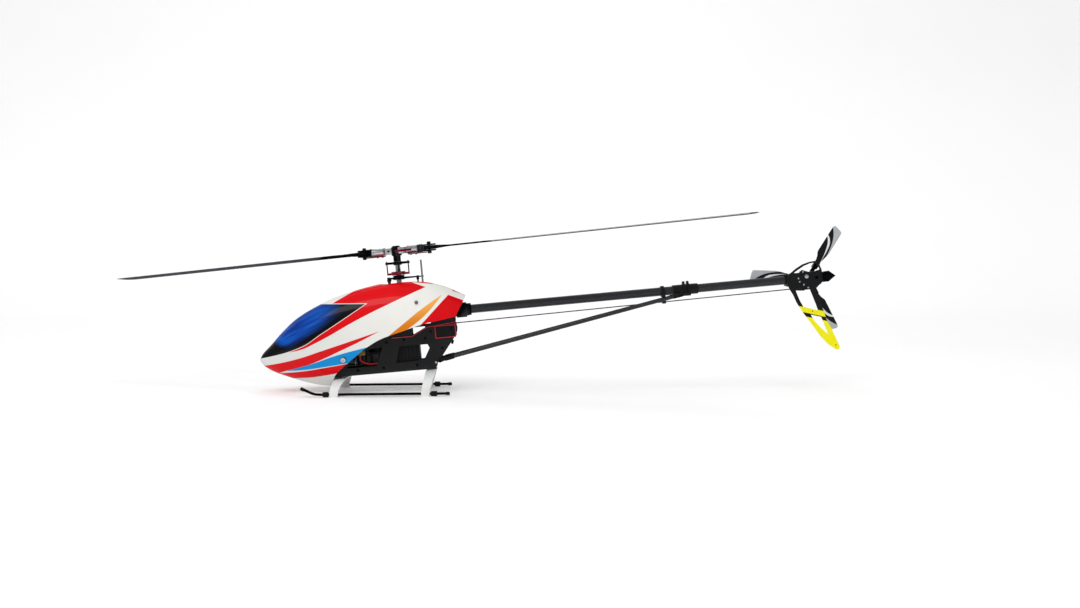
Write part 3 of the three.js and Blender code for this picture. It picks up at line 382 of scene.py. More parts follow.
def blade_paint():
    """Main blades: pale grey on top with painted shade towards the leading edge, bare dark carbon
    below and at the root.
    """
    look = Look("blade_paint")
    over, height = weave(look, look.x, look.y, 2.0)
    bare = look.mix(over, "0a0b0c", "141518")
    streaks = look.noise(30, detail=4, stretch=(0.1, 1, 1))
    pale = look.mix(streaks, "bcbfc2", "a9acb0")
    # Painted shade: the pale top darkens towards the leading edge.
    pale = look.mix(look.step(look.y, 6, -18), pale, "85888d")
    slant = look.math("MULTIPLY_ADD", look.y, PALE_SLANT, look.x)
    outer = look.inside(look.math("SUBTRACT", slant, PALE_FROM), 0.5)
    tip = look.inside(look.math("SUBTRACT", PALE_TO, look.x), 0.5)
    normal = look.node("SeparateXYZ", {0: look.node("TexCoord").outputs["Normal"]})
    top = look.step(normal.outputs[2], -0.05, 0.05)
    shown = look.math("MULTIPLY", look.math("MULTIPLY", outer, tip), top)
    under = look.clouds(24, "4c4f53", "414448")
    low = look.mix(outer, bare, under)
    look.put(look.shader.inputs["Specular IOR Level"], look.math("MULTIPLY", shown, 0.35))
    look.bump(height, 0.05, 0.1)
    return look.finish(look.mix(shown, low, pale), look.sized(streaks, 0.28, 0.42))


# Stripes of a tail blade: x along the blade and y across it, in mm.
TIP_EDGE = [(50, 12.5), (90, 9), (110, 4), (128, -5), (146, -22)]
STRIPE_MIDDLE = [(50, 6.5), (90, 1.5), (103, -3), (118, -19)]


def tail_blade_paint():
    """Tail blades: black, with a curved white stripe and a silver tip."""
    look = Look("tail_blade_paint", coat=0.12, coat_roughness=0.12, specular=0.12)
    black = look.clouds(8, "08090a", "101113")
    silver = look.mix(look.noise(10, stretch=(0.2, 1, 1)), "b4b6b9", "a2a4a8")
    tip = look.curve(TIP_EDGE, look.y)
    away = look.math("ABSOLUTE", look.curve(STRIPE_MIDDLE, look.y))
    width = look.sized(look.step(look.x, 56, 112), 0.5, 3.4)
    color = look.mix(look.inside(look.math("SUBTRACT", width, away)), black, "dcdde0")
    color = look.mix(look.inside(tip), color, silver)
    look.bump(look.noise(1.2), 0.08, 0.05)
    return look.finish(color, look.sized(look.noise(5), 0.26, 0.4))


FIN_YELLOW_BELOW = [(952, -65), (1003, -80)]
FIN_BAND = [(967, -87), (1012, -101)]
FIN_BAND_HALF = 4.5


def fin_paint():
    """The lower fin: black carbon above, yellow below with a black band."""
    look = Look("fin_paint", coat=0.1, coat_roughness=0.15, specular=0.12)
    over, height = weave(look, look.x, look.z, 1.6)
    black = look.mix(over, "0a0b0c", "131416")
    yellow = look.clouds(12, "f1ea12", "e2da14")
    high = look.line(*FIN_YELLOW_BELOW)
    away = look.math("ABSOLUTE", look.line(*FIN_BAND))
    band = look.inside(look.math("SUBTRACT", FIN_BAND_HALF, away))
    color = look.mix(look.inside(high), yellow, black)
    color = look.mix(band, color, black)
    look.bump(height, 0.12, 0.1)
    return look.finish(color, look.sized(look.noise(6), 0.28, 0.42))


def cell_wrap():
    """The battery's shrink wrap: dark film, slightly puckered."""
    look = Look("battery_wrap")
    folds = look.noise(16, detail=5, stretch=(0.4, 1, 1))
    look.bump(folds, 0.4, 0.6)
    color = look.mix(folds, "1a2236", "10141f")
    return look.finish(color, look.sized(look.noise(5), 0.3, 0.45))


def silicone(name, color, dark):
    """A wire's soft insulation, slightly dusty."""
    look = Look(name)
    dust = look.noise(2.5, detail=4)
    look.bump(dust, 0.1, 0.1)
    return look.finish(look.mix(dust, color, dark), look.sized(dust, 0.42, 0.6))


def backdrop():
    look = Look("studio_paper")
    fine = look.noise(900)
    return look.finish(look.mix(fine, "fdfdfd", "fafafa"), look.sized(fine, 0.8, 0.9))


# Each finish is the record's slot, if any, and the material.
CARBON_SIDE = ("carbon", carbon("carbon_side", "side", gloss=0.12))
CARBON_FLAT = ("carbon", carbon("carbon_flat", "flat", gloss=0.12))
CARBON_TUBE = ("carbon", carbon("carbon_tube", "tube", gloss=0.35))
BLACK_METAL = ("black_metal", anodised("black_metal", "0e0f11", "08090a", 0.34, wear=0.16))
SILVER = ("silver_metal", anodised("silver_metal", "c9ccd1", "a8acb2", 0.24))
STEEL = ("steel", anodised("steel", "8f9297", "77797e", 0.28))
RED_METAL = ("red_metal", anodised("red_metal", "8e1230", "6d0f26", 0.3))
BLACK_PLASTIC = ("black_plastic", plastic(
    "black_plastic", "0b0c0d", "121315", 0.48, scuff="2c2d30", specular=0.15))
SERVO_CASE = ("black_plastic", plastic(
    "servo_case", "16171a", "101113", 0.4, scuff="3a3c40", specular=0.2))
RUBBER = ("black_plastic", plastic(
    "rubber", "0e0e0f", "141415", 0.7, scuff="242426", specular=0.15))
WHITE_PLASTIC = ("white_plastic", plastic(
    "white_plastic", "dfe0de", "d5d6d4", 0.42, scuff="eceded"))
GEAR_PLASTIC = ("white_plastic", plastic(
    "gear_plastic", "e9e7e0", "dcd9d0", 0.36, scuff="f4f2ec"))
RED_STRIPE = ("red_metal", plastic("red_stripe", "c4182c", "a91426", 0.4, scuff="d84a55"))
SKID_METAL = ("black_plastic", BLACK_METAL[1])
CANOPY_PAINT = canopy_paint()
CANOPY_INSIDE = plastic("canopy_inside", "c9ccc9", "b6bab6", 0.6, grain=1.5)
BLADE_PAINT = ("blade_paint", blade_paint())
TAIL_BLADE_PAINT = ("tail_blade_paint", tail_blade_paint())
FIN_PAINT = ("fin_paint", fin_paint())
BATTERY_WRAP = ("battery_wrap", cell_wrap())
WIRE_RED = ("", silicone("wire_red", "c3161c", "a41218"))
WIRE_BLACK = ("", silicone("wire_black", "17171a", "222226"))
WIRE_YELLOW = ("", silicone("wire_yellow", "9c7a12", "86680e"))


# ---- mesh making ----------------------------------------------------------

class Shape:
    """Points and faces, in mm, that become one piece."""

    def __init__(self):
        self.points = []
        self.faces = []

    def skin(self, rings, place=ROW, loop=False):
        """A skin through rings of points that run anticlockwise about their own way up."""
        start, count = len(self.points), len(rings[0])
        for ring in rings:
            self.points += [place @ Vector(p) for p in ring]
        pairs = list(zip(range(len(rings) - 1), range(1, len(rings))))
        if loop:
            pairs.append((len(rings) - 1, 0))
        for low, high in pairs:
            for i in range(count):
                j = (i + 1) % count
                self.faces.append([start + k for k in (
                    low * count + i, low * count + j, high * count + j, high * count + i)])
        if not loop:
            last = start + (len(rings) - 1) * count
            self.faces.append([start + i for i in reversed(range(count))])
            self.faces.append([last + i for i in range(count)])
        return self

    def turned(self, profile, place=ROW, sides=32, hexagon=(), loop=False):
        """A lathe about local z of (radius, z) rows; rows named in hexagon are six-sided."""
        rings = []
        for row, (radius, z) in enumerate(profile):
            ring = []
            for i in range(sides):
                angle = math.tau * i / sides
                flat = 1.0
                if row in hexagon:
                    flat = math.cos(math.pi / 6) / math.cos(angle % (math.pi / 3) - math.pi / 6)
                reach = radius * flat
                ring.append((reach * math.cos(angle), reach * math.sin(angle), z))
            rings.append(ring)
        return self.skin(rings, place, loop=loop)

    def swept(self, path, radius, sides=16, ends=None):
        """A round bar along a path; ends may scale the radius at each point."""
        path = [Vector(p) for p in path]
        side = (path[1] - path[0]).orthogonal().normalized()
        rings = []
        for i, point in enumerate(path):
            ahead = (path[min(i + 1, len(path) - 1)] - path[max(i - 1, 0)]).normalized()
            side = (side - ahead * side.dot(ahead)).normalized()
            other = ahead.cross(side)
            reach = radius * (ends[i] if ends else 1)
            rings.append([
                point + (side * math.cos(a) + other * math.sin(a)) * reach
                for a in (math.tau * k / sides for k in range(sides))
            ])
        return self.skin(rings)

    def slab(self, outline, low, high, place=ROW):
        """A flat plate with an anticlockwise outline in local x and y."""
        return self.skin([[(x, y, z) for x, y in outline] for z in (low, high)], place)


def aim(at, direction, spin=0.0):
    """A placement at a point, with local z along direction."""
    turn = Vector(direction).to_track_quat("Z", "Y").to_matrix().to_4x4()
    return Matrix.Translation(Vector(at)) @ turn @ Matrix.Rotation(spin, 4, "Z")


def smooth_path(points, steps=8):
    """A Catmull-Rom line through a few points."""
    points = [Vector(p) for p in points]
    ends = [2 * points[0] - points[1], *points, 2 * points[-1] - points[-2]]
    path = []
    for a, b, c, d in zip(ends, ends[1:], ends[2:], ends[3:]):
        for k in range(steps):
            t = k / steps
            path.append(0.5 * (
                2 * b + (c - a) * t + (2 * a - 5 * b + 4 * c - d) * t * t
                + (3 * b - a - 3 * c + d) * t ** 3))
    return [*path, points[-1]]


def arc(centre, radius, start, end, steps=8):
    """Points of an arc in the plane, in degrees."""
    turns = [math.radians(start + (end - start) * i / steps) for i in range(steps + 1)]
    return [(centre[0] + radius * math.cos(a), centre[1] + radius * math.sin(a)) for a in turns]


def place_piece(obj, body, place=AIRFRAME):
    bpy.context.scene.collection.objects.link(obj)
    obj.matrix_world = place
    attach(obj, body)
    return obj


def soften(obj, width):
    """Rounds a piece's sharp edges by width mm."""
    bevel = obj.modifiers.new("edges", "BEVEL")
    bevel.width = width * MM
    bevel.segments = 2
    bevel.limit_method = "ANGLE"
    bevel.angle_limit = math.radians(50)
    bevel.use_clamp_overlap = True


def mesh_of(name, shape, materials):
    mesh = bpy.data.meshes.new(name)
    mesh.from_pydata([Vector(p) * MM for p in shape.points], [], shape.faces)
    for material in materials:
        mesh.materials.append(material)
    return mesh


def shade(mesh, sharp):
    """Smooth, except where the surface turns by more than sharp degrees."""
    mesh.shade_smooth()
    mesh.set_sharp_from_angle(angle=math.radians(sharp))
    return mesh


def make(name, shape, body, finish, place=AIRFRAME, sharp=35, edge=0.0, replaced=None):
    """A piece from a shape in mm, in place of a CAD node or beside them."""
    slot, material = finish
    mesh = shade(mesh_of(name, shape, [material]), sharp)
    obj = place_piece(bpy.data.objects.new(name, mesh), body, place)
    if edge:
        soften(obj, edge)
    if replaced:
        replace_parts(obj, replaced)


def refined(node, *finishes, edge=0.35, place=AIRFRAME):
    """A CAD part with its facets shaded round and its edges softened, in its place."""
    source = frame["nodes"][node]
    mesh = source.data.copy()
    mesh.transform(place.inverted())
    mesh.materials.clear()
    for _, material in finishes:
        mesh.materials.append(material)
    tidy = bmesh.new()
    tidy.from_mesh(mesh)
    bmesh.ops.remove_doubles(tidy, verts=tidy.verts, dist=1e-6)
    bmesh.ops.dissolve_limit(
        tidy, angle_limit=math.radians(0.8), verts=tidy.verts, edges=tidy.edges)
    for face in tidy.faces:
        face.material_index = 0
    tidy.to_mesh(mesh)
    tidy.free()
    obj = bpy.data.objects.new(node + "_finish", shade(mesh, 40))
    place_piece(obj, source["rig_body"], place)
    soften(obj, edge)
    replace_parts(obj, node)
    return obj


def paint_part(obj, index, wanted):
    """Gives the faces whose middle (in mm) passes a test another of the piece's materials."""
    for face in obj.data.polygons:
        if wanted(face.center / MM):
            face.material_index = index


# ---- screws ---------------------------------------------------------------

SCREW_R = 1.5
screws = {}


def screw_set(body, bright):
    return screws.setdefault((body, bright), Shape())


def screw(body, at, direction, head=2.6, tall=2.4, washer=0.0):
    """A dark socket-head screw standing on the point at, added to its body's set."""
    shape = screw_set(body, False)
    place = aim(at, direction, 0.4)
    base = 0.0
    if washer:
        wide = head + washer
        base = 0.6
        shape.turned([(wide, 0), (wide, base), (SCREW_R, base), (SCREW_R, 0)], place)
    shape.turned(
        [(head * 0.98, base), (head, base + 0.2), (head, base + tall * 0.85),
         (head * 0.88, base + tall), (head * 0.6, base + tall),
         (head * 0.56, base + tall * 0.9), (head * 0.56, base + tall * 0.45)],
        place, sides=24, hexagon=(4, 5, 6))


def button_screw(body, at, direction, head=2.9, tall=1.7, bright=False):
    """A low, domed screw with a socket."""
    screw_set(body, bright).turned(
        [(head, 0), (head * 0.98, tall * 0.25), (head * 0.86, tall * 0.62),
         (head * 0.66, tall * 0.9), (head * 0.5, tall), (head * 0.46, tall),
         (head * 0.44, tall * 0.4)],
        aim(at, direction, 0.9), sides=24, hexagon=(5, 6))


# ---- canopy ---------------------------------------------------------------

# Hull stations: x, roof, keel and half width.
STATIONS = [
    (-338.6, -74, -77, 0.6), (-337, -70, -80, 4.6), (-330, -60, -89, 14), (-309, -41, -104, 27),
    (-280, -13, -118, 39), (-246, 14, -132, 49), (-206, 35, -145, 57), (-155, 55, -154, 63),
    (-100, 69, -157, 66.5), (-45, 78, -157, 68), (15, 81, -156, 68), (65, 76, -154, 67),
    (110, 60, -150, 65), (152, 37, -146, 63),
]
HULL_POWER = 2.4  # 2 is an ellipse, more is squarer
SHELL = 1.6
SLOT_HALF = 23
SLOT_FRONT = -46
# The side's open edge: x and z, from the rear rim forward and down to the keel.
SIDE_EDGE = [
    (160, 60), (152, 33), (144, 18), (136, 5), (130, -5), (123, -12.5), (83, -18.5), (61, -21),
    (43, -24.5), (20, -30), (-1, -36), (-23, -41), (-53, -50), (-81, -64), (-107, -81),
    (-140, -105), (-160, -121), (-168, -134), (-172, -170),
]
CANOPY_NUT = (-138, -88)
CANOPY_SCREW = (39, 28)


def between(table, x, column):
    """A smooth value from a column of a table whose first column is x."""
    i = next((k for k in range(1, len(table)) if x <= table[k][0]), len(table) - 1) - 1
    a, b, c, d = (table[min(max(k, 0), len(table) - 1)] for k in (i - 1, i, i + 1, i + 2))
    span = c[0] - b[0]
    t = (x - b[0]) / span
    m0, m1 = ((q[column] - p[column]) / (q[0] - p[0]) * span for p, q in ((a, c), (b, d)))
    return ((2 * t**3 - 3 * t**2 + 1) * b[column] + (t**3 - 2 * t**2 + t) * m0
            + (3 * t**2 - 2 * t**3) * c[column] + (t**3 - t**2) * m1)


def hull_point(x, angle, inset=0.0):
    """A point of the hull at station x, at an angle about its axis from starboard up."""
    roof, keel, half = (between(STATIONS, x, column) for column in (1, 2, 3))
    power = 2 / HULL_POWER
    c, s = math.cos(angle), math.sin(angle)
    return Vector((
        x,
        math.copysign(abs(c) ** power, c) * max(half - inset, 0.3),
        (roof + keel) / 2 + math.copysign(abs(s) ** power, s) * max((roof - keel) / 2 - inset, 0.3),
    ))


def hull(inset, first, count=112):
    """The closed hull, or the space inside it."""
    xs = []
    x = first
    while x < STATIONS[-1][0]:
        xs.append(x)
        x += 0.8 if x < first + 3 else (2.5 if x < -320 else 5.5)
    xs.append(STATIONS[-1][0])
    rings = [[hull_point(x, math.tau * (i + 0.5) / count, inset) for i in range(count)] for x in xs]
    if inset:
        rings.append([p + Vector((8, 0, 0)) for p in rings[-1]])
    return Shape().skin(rings)


def plain_object(name, shape, index, materials):
    mesh = mesh_of(name, shape, materials)
    mesh.polygons.foreach_set("material_index", [index] * len(mesh.polygons))
    outward = bmesh.new()
    outward.from_mesh(mesh)
    bmesh.ops.recalc_face_normals(outward, faces=outward.faces)
    outward.to_mesh(mesh)
    outward.free()
    obj = bpy.data.objects.new(name, mesh)
    bpy.context.scene.collection.objects.link(obj)
    return obj


def canopy():
    """The thin painted shell: hull, less its inside, its open side and its roof slot."""
    materials = (CANOPY_PAINT, CANOPY_INSIDE)
    body = plain_object("canopy_shell", hull(0, STATIONS[0][0]), 0, materials)
    inside = plain_object("inside", hull(SHELL, -334), 1, materials)
    edge = [(x, -z) for x, z in smooth_edge()]
    turn = Matrix.Rotation(math.radians(-90), 4, "X")
    open_side = plain_object("open_side", Shape().slab(edge, -100, 100, turn), 1, materials)
    front = arc((SLOT_FRONT + SLOT_HALF, 0), SLOT_HALF, 90, 270, 24)
    slot = [(260, -SLOT_HALF), (260, SLOT_HALF), *front]
    roof_slot = plain_object("roof_slot", Shape().slab(slot, 0, 130), 1, materials)
    for tool in (inside, open_side, roof_slot):
        cut = body.modifiers.new("cut", "BOOLEAN")
        cut.operation = "DIFFERENCE"
        cut.solver = "EXACT"
        cut.object = tool
    bpy.context.view_layer.update()
    found = body.evaluated_get(bpy.context.evaluated_depsgraph_get())
    mesh = bpy.data.meshes.new_from_object(found)
    mesh.name = "canopy_shell"
    for spare in (body, inside, open_side, roof_slot):
        bpy.data.objects.remove(spare)
    shell = bpy.data.objects.new("canopy_shell", shade(mesh, 32))
    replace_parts(place_piece(shell, "canopy"), "canopy")


def smooth_edge():
    """The open edge rounded between its points, closed below and behind the hull."""
    curved = [(p.x, p.z) for p in smooth_path([(x, 0, z) for x, z in SIDE_EDGE[1:-1]], 4)]
    return [SIDE_EDGE[0], *curved, SIDE_EDGE[-1], (260, -170), (260, 60)]


def canopy_fasteners():
    """A rubber grommet and knurled nut low on each side, and a screw high on each side."""
    rubber, metal, dark = Shape(), Shape(), Shape()
    for side in SIDES:
        for (x, z), size, kind in ((CANOPY_NUT, 1.0, metal), (CANOPY_SCREW, 0.62, dark)):
            at, out = hull_side(x, z, side)
            rubber.turned(
                [(3.2 * size, -1.9), (6.6 * size, -1.9), (6.8 * size, 0.2), (6.2 * size, 1.0),
                 (3.4 * size, 1.1), (3.2 * size, 0.6)], aim(at, out))
            kind.turned(
                [(3.1 * size, -1.0), (3.1 * size, 1.1), (5.9 * size, 1.2), (6.1 * size, 1.8),
                 (6.0 * size, 3.8), (5.1 * size, 4.6), (2.8 * size, 4.7), (2.6 * size, 4.5),
                 (2.5 * size, 2.4)], aim(at, out), hexagon=(6, 7, 8), sides=24)
    make("canopy_grommets", rubber, "canopy", RUBBER)
    make("canopy_nuts", metal, "canopy", SILVER)
    make("canopy_screws", dark, "canopy", STEEL)


def hull_side(x, z, side):
    """The point of the hull at x and z on one side, and the way out of it."""
    roof, keel = between(STATIONS, x, 1), between(STATIONS, x, 2)
    sine = (z - (roof + keel) / 2) / ((roof - keel) / 2)
    angle = math.asin(math.copysign(abs(sine) ** (HULL_POWER / 2), sine))
    step = 0.02
    along = hull_point(x + 1, angle) - hull_point(x - 1, angle)
    around = hull_point(x, angle + step) - hull_point(x, angle - step)
    out = around.cross(along) * -1
    at = hull_point(x, angle)
    if out.y < 0:
        out = -out
    return Vector((at.x, at.y * side, at.z)), Vector((out.x, out.y * side, out.z))


canopy()
canopy_fasteners()


# ---- main blades ----------------------------------------------------------

BLADE_BOLT = 88
ROOT_R = 12
ROOT_THICK = 8.6
BLADE_THICK = 8
BLADE_TIP = 841
# Radius, leading edge ahead of the axis, trailing edge behind it, and thickness share.
PLANFORM = [
    (92, 12, 12, 1), (104, 13, 13.5, 1), (118, 16.6, 25, 1), (132, 19.5, 38, 1),
    (146, 20, 42, 1), (400, 20, 42, 1), (700, 20, 42, 1), (806, 20, 42, 1),
    (822, 19.2, 41.5, 0.97), (832, 16.5, 39.5, 0.85), (838, 12.5, 36.5, 0.7),
    (BLADE_TIP, 8, 33, 0.45),
]


def aerofoil(f):
    """Half the thickness of a symmetric section at a share f of its chord."""
    return 2.5 * (0.2969 * math.sqrt(f) - 0.126 * f - 0.3516 * f**2 + 0.2843 * f**3
                  - 0.1036 * f**4)


def section(x, ahead, behind, thick, root, count=20):
    """A blade section; root is 1 for the flat root and 0 for the aerofoil."""
    shares = [(1 - math.cos(math.pi * i / count)) / 2 for i in range(count + 1)]

    def half(f):
        flat = thick / 2 * min(1.0, (1 - (1 - min(f, 1 - f) / 0.12) ** 2) ** 0.5
                               if min(f, 1 - f) < 0.12 else 1.0)
        return root * flat + (1 - root) * max(thick * aerofoil(f), 0.2)

    upper = [(x, -ahead + f * (ahead + behind), half(f)) for f in shares]
    lower = [(x, y, -h) for _, y, h in reversed(upper[1:-1])]
    return [Vector(p) for p in reversed([*upper, *lower])]


def main_blades():
    for letter, place in GRIPS.items():
        rings = []
        for degrees in (12, 25, 40, 58, 78):
            turn = math.radians(degrees)
            half = ROOT_R * math.sin(turn)
            rings.append(section(BLADE_BOLT - ROOT_R * math.cos(turn), half, half, ROOT_THICK, 1))
        for x, ahead, behind, part in PLANFORM:
            root = 1 - min(max((x - 100) / 40, 0), 1)
            thick = root * ROOT_THICK + (1 - root) * BLADE_THICK * part
            rings.append(section(x, ahead, behind, thick, root * root * (3 - 2 * root)))
        shape = Shape().skin(rings)
        make(f"rotor_blade_{letter}", shape, f"blade_{letter}", BLADE_PAINT,
             place=place, sharp=50, replaced=f"main_blade_{letter}")


main_blades()


# ---- tail blades ----------------------------------------------------------

# Radius, leading edge ahead, trailing edge behind and thickness, all from the blade's axis.
TAIL_PLANFORM = [
    (35.2, 2.2, 2.2, 3.2), (36, 3.8, 3.8, 3.6), (38, 5, 5, 3.8), (44, 6, 6, 3.8),
    (52, 7.4, 7.6, 3.8), (60, 9.8, 9.4, 3.8), (66, 13.2, 10.8, 3.8), (70, 14.4, 11.8, 3.8),
    (80, 14.5, 13.4, 3.8), (110, 14.5, 13, 3.7), (139, 14.5, 12.6, 3.4), (142, 14.2, 7.5, 3),
    (144, 12.6, -0.8, 2.2), (145.6, 10.6, -8.6, 1.2),
]


def tail_blades():
    for number, (letter, place) in enumerate(TAIL_GRIPS.items(), 1):
        rings = []
        for x, ahead, behind, thick in TAIL_PLANFORM:
            root = 1 - min(max((x - 46) / 20, 0), 1)
            rings.append(section(x, ahead, behind, thick, root, 12))
        make(f"tail_rotor_blade_{number}", Shape().skin(rings), f"tail_blade_{letter}",
             TAIL_BLADE_PAINT, place=place, sharp=50, replaced=f"tail_blade_{number}")


tail_blades()


# ---- CAD parts with softened edges ---------------------------------------

# CAD parts that keep their shape: finish, width of the soft edge in mm, and nodes.
SOFTENED = [
    (CARBON_SIDE, 0.3, "lower_frame_left upper_frame_left lower_frame_right upper_frame_right"),
    (CARBON_FLAT, 0.3, "bottom_plate battery_tray"),
    (BLACK_METAL, 0.6, "upper_bearing_block lower_bearing_block motor_mount boom_block"),
    (BLACK_METAL, 0.6, "tail_gear_case"),
    (BLACK_PLASTIC, 0.6, "speed_controller"),
    (BLACK_METAL, 0.5, "motor_rotor"),
    (SERVO_CASE, 0.7, "cyclic_servo_left cyclic_servo_right cyclic_servo_rear tail_servo"),
    (BLACK_PLASTIC, 0.4, "servo_arm_left servo_arm_right servo_arm_rear tail_servo_arm"),
    (BLACK_PLASTIC, 0.4, "flight_controller brace_clamp pushrod_guide tail_slider"),
    (BLACK_PLASTIC, 0.4, "tail_bell_crank pitch_link_a pitch_link_b"),
    (STEEL, 0.3, "anti_rotation_guide"),
    (STEEL, 0.4, "main_shaft"),
    (STEEL, 0.15, "tail_drive_shaft torque_tube"),
    (GEAR_PLASTIC, 0.15, "main_gear"),
    (BLACK_METAL, 0.5, "swash_driver"),
    (BLACK_METAL, 0.4, "swash_inner"),
    (BLACK_METAL, 0.25, "tail_hub"),
    (FIN_PAINT, 0.35, "tail_fin"),
    (WHITE_PLASTIC, 1.4, "front_strut rear_strut"),
    (BATTERY_WRAP, 3, "battery"),
]
DRIVE_PINS_FROM = 104  # up the mast; they are black, and stand on the red ring


def frame_parts():
    for finish, edge, nodes in SOFTENED:
        for node in nodes.split():
            refined(node, finish, edge=edge)
    outer = refined("swash_outer", RED_METAL, BLACK_METAL, edge=0.4)
    paint_part(outer, 1, lambda c: c.z > DRIVE_PINS_FROM)


frame_parts()


# ---- tubes and rods -------------------------------------------------------

BOOM_R = 10.3
BOOM_WALL = 1.4
BOOM_ENDS = [(124, 0, 0), (944, 0, 0)]
BRACE_R = 3.6
BRACE_FRONT = Vector((80, 33.9, -112))
BRACE_REAR = Vector((671, 19, -11))


def boom():
    """A smooth hollow tube, with a small lip at each end."""
    start, end = (Vector(p) for p in BOOM_ENDS)
    long = (end - start).length
    bore, lip = BOOM_R - BOOM_WALL, 0.4
    profile = [(bore, 0), (BOOM_R - lip, 0), (BOOM_R, lip), (BOOM_R, long - lip),
               (BOOM_R - lip, long), (bore, long)]
    shape = Shape().turned(profile, aim(start, end - start), sides=64, loop=True)
    make("boom_tube", shape, "frame", CARBON_TUBE, replaced="tail_boom")


def braces():
    """Carbon tubes with turned end fittings, flattened where the frame's bolt holds them."""
    for side, word in zip(SIDES, ("left", "right")):
        start, end = (Vector((p.x, p.y * side, p.z)) for p in (BRACE_FRONT, BRACE_REAR))
        way = (end - start).normalized()
        long = (end - start).length
        rod = Shape().swept([start + way * 26, end - way * 14], BRACE_R, 32)
        make(f"brace_tube_{word}", rod, "frame", CARBON_TUBE, replaced=f"boom_brace_{word}")
        ends = Shape()
        ends.turned([(3.4, 9), (4.6, 12), (5, 14), (5, 31), (4.5, 32), (4.4, 33.5), (3.8, 34)],
                    aim(start, way))
        ends.turned([(3.8, long - 26), (4.4, long - 25), (4.5, long - 8), (4, long - 5),
                     (2.6, long - 2), (2.6, long)], aim(start, way))
        outline = [*arc((0, 0), 5.4, 90, 270, 12), (9, -3.8), (16, -3.4), (16, 3.4), (9, 3.8)]
        out = Vector((0, side, 0))
        ends.slab(outline, -2, 2, basis(way, out.cross(way), out, start))
        make(f"brace_ends_{word}", ends, "frame", BLACK_PLASTIC, edge=0.3)
        for reach in (0, long - 6):
            screw("frame", start + way * reach + Vector((0, side * 2, 0)), (0, side, 0),
                  head=3.4, tall=2.6, washer=1.2)


ROD_Y = -12
ROD_R = 1.3
ROD_START = Vector((100, ROD_Y, -29.5))
ROD_END = Vector((965, ROD_Y, -22))


def ball_end(shape, at, way, across, size=1.0, neck=9.0):
    """A moulded ball link: a ring round the ball at a point, and a neck along way."""
    at, way = Vector(at), Vector(way).normalized()
    shape.turned(
        [(1.9 * size, -1.5 * size), (3.1 * size, -1.7 * size), (3.5 * size, -1.2 * size),
         (3.5 * size, 1.2 * size), (3.1 * size, 1.7 * size), (1.9 * size, 1.5 * size)],
        aim(at, across), sides=24)
    shape.turned(
        [(1.7 * size, 2.4 * size), (1.9 * size, 3.2 * size), (1.75 * size, neck - 1),
         (1.4 * size, neck)], aim(at, way), sides=20)


def pushrod():
    way = (ROD_END - ROD_START).normalized()
    rod = Shape().swept([ROD_START + way * 12, ROD_END - way * 12], ROD_R, 20)
    make("pushrod_rod", rod, "pushrod", CARBON_TUBE, replaced="tail_pushrod")
    ends = Shape()
    ends.turned([(1.6, 3.2), (2.3, 4), (2.3, 24), (1.5, 25)], aim(ROD_START, way), sides=20)
    ends.turned([(1.6, 3.2), (2.3, 4), (2.3, 22), (1.5, 23)], aim(ROD_END, -way), sides=20)
    make("pushrod_ends", ends, "pushrod", BLACK_PLASTIC)


SKID_R = 3
SLEEVE_R = 6
TRACK = 98
SKID_TIP = [(-216, 13), (-203, 6.5), (-191, 1.6), (-178, 0), (-166, 0)]
SKID_TAIL = 113
SKID_SLEEVES = [(-171, -158.5), (71, 85)]
GROUND = Matrix.Translation(Vector((MAST["pos_m"][0], 0, 0)))


def skids():
    for side, word in zip(SIDES, ("left", "right")):
        y = side * TRACK
        front = smooth_path([(x, y, SLEEVE_R + rise) for x, rise in SKID_TIP], 6)
        path = [*front, Vector((SKID_TAIL, y, SLEEVE_R))]
        path = [path[0] + (path[0] - path[1]) * 0.12, *path, path[-1] + Vector((0.6, 0, 0))]
        ends = [0.8, *[1] * (len(path) - 2), 0.8]
        tube = Shape().swept(path, SKID_R, 24, ends)
        make(f"skid_tube_{word}", tube, "frame", SKID_METAL, place=GROUND,
             replaced=f"skid_{word}")
        sleeves = Shape()
        for x0, x1 in SKID_SLEEVES:
            profile = [(SKID_R, 0), (SLEEVE_R - 0.7, 0), (SLEEVE_R, 0.8), (SLEEVE_R, x1 - x0 - 0.8),
                       (SLEEVE_R - 0.7, x1 - x0), (SKID_R, x1 - x0)]
            sleeves.turned(profile, aim((x0, y, SLEEVE_R), (1, 0, 0)))
        for x in (SKID_TIP[0][0] - 1.2, SKID_TAIL - 3):
            at = Vector((x, y, SLEEVE_R + (SKID_TIP[0][1] if x < 0 else 0)))
            way = Vector((1, 0, 0)) if x > 0 else (path[0] - path[2]).normalized()
            sleeves.turned([(SKID_R, -6), (3.7, -5.6), (3.9, -5), (3.9, 2.2), (3.3, 3.2), (1, 3.7)],
                           aim(at, way))
        make(f"skid_sleeves_{word}", sleeves, "frame", RUBBER, place=GROUND)


LEADS = [
    (WIRE_RED, [(-31, -12, -100), (-58, -15, -106), (-86, -19, -106), (-104, -20, -97),
                (-105, -20, -85)]),
    (WIRE_BLACK, [(-31, -4, -108), (-58, -6, -113), (-82, -10, -111), (-96, -12, -99),
                  (-97, -12, -85)]),
]
LEAD_R = 2


def power_leads():
    """The battery's yellow plug and its two silicone leads."""
    for (material, route), word in zip(LEADS, ("red", "black")):
        lead = Shape().swept(smooth_path(route, 8), LEAD_R, 16)
        make(f"power_lead_{word}", lead, "frame", material)
    plug = Shape().slab([(-109, -23.6), (-93, -23.6), (-93, -8.4), (-109, -8.4)], -85, -74)
    make("power_plug", plug, "frame", WIRE_YELLOW, edge=1.2, replaced="power_leads")
    ribs = Shape()
    for x in (-107, -104, -101, -98, -95):
        ribs.slab([(x, -24), (x + 1, -24), (x + 1, -8), (x, -8)], -83, -76)
    make("power_plug_ribs", ribs, "frame", WIRE_YELLOW, edge=0.3)


boom()
braces()
pushrod()
skids()
power_leads()


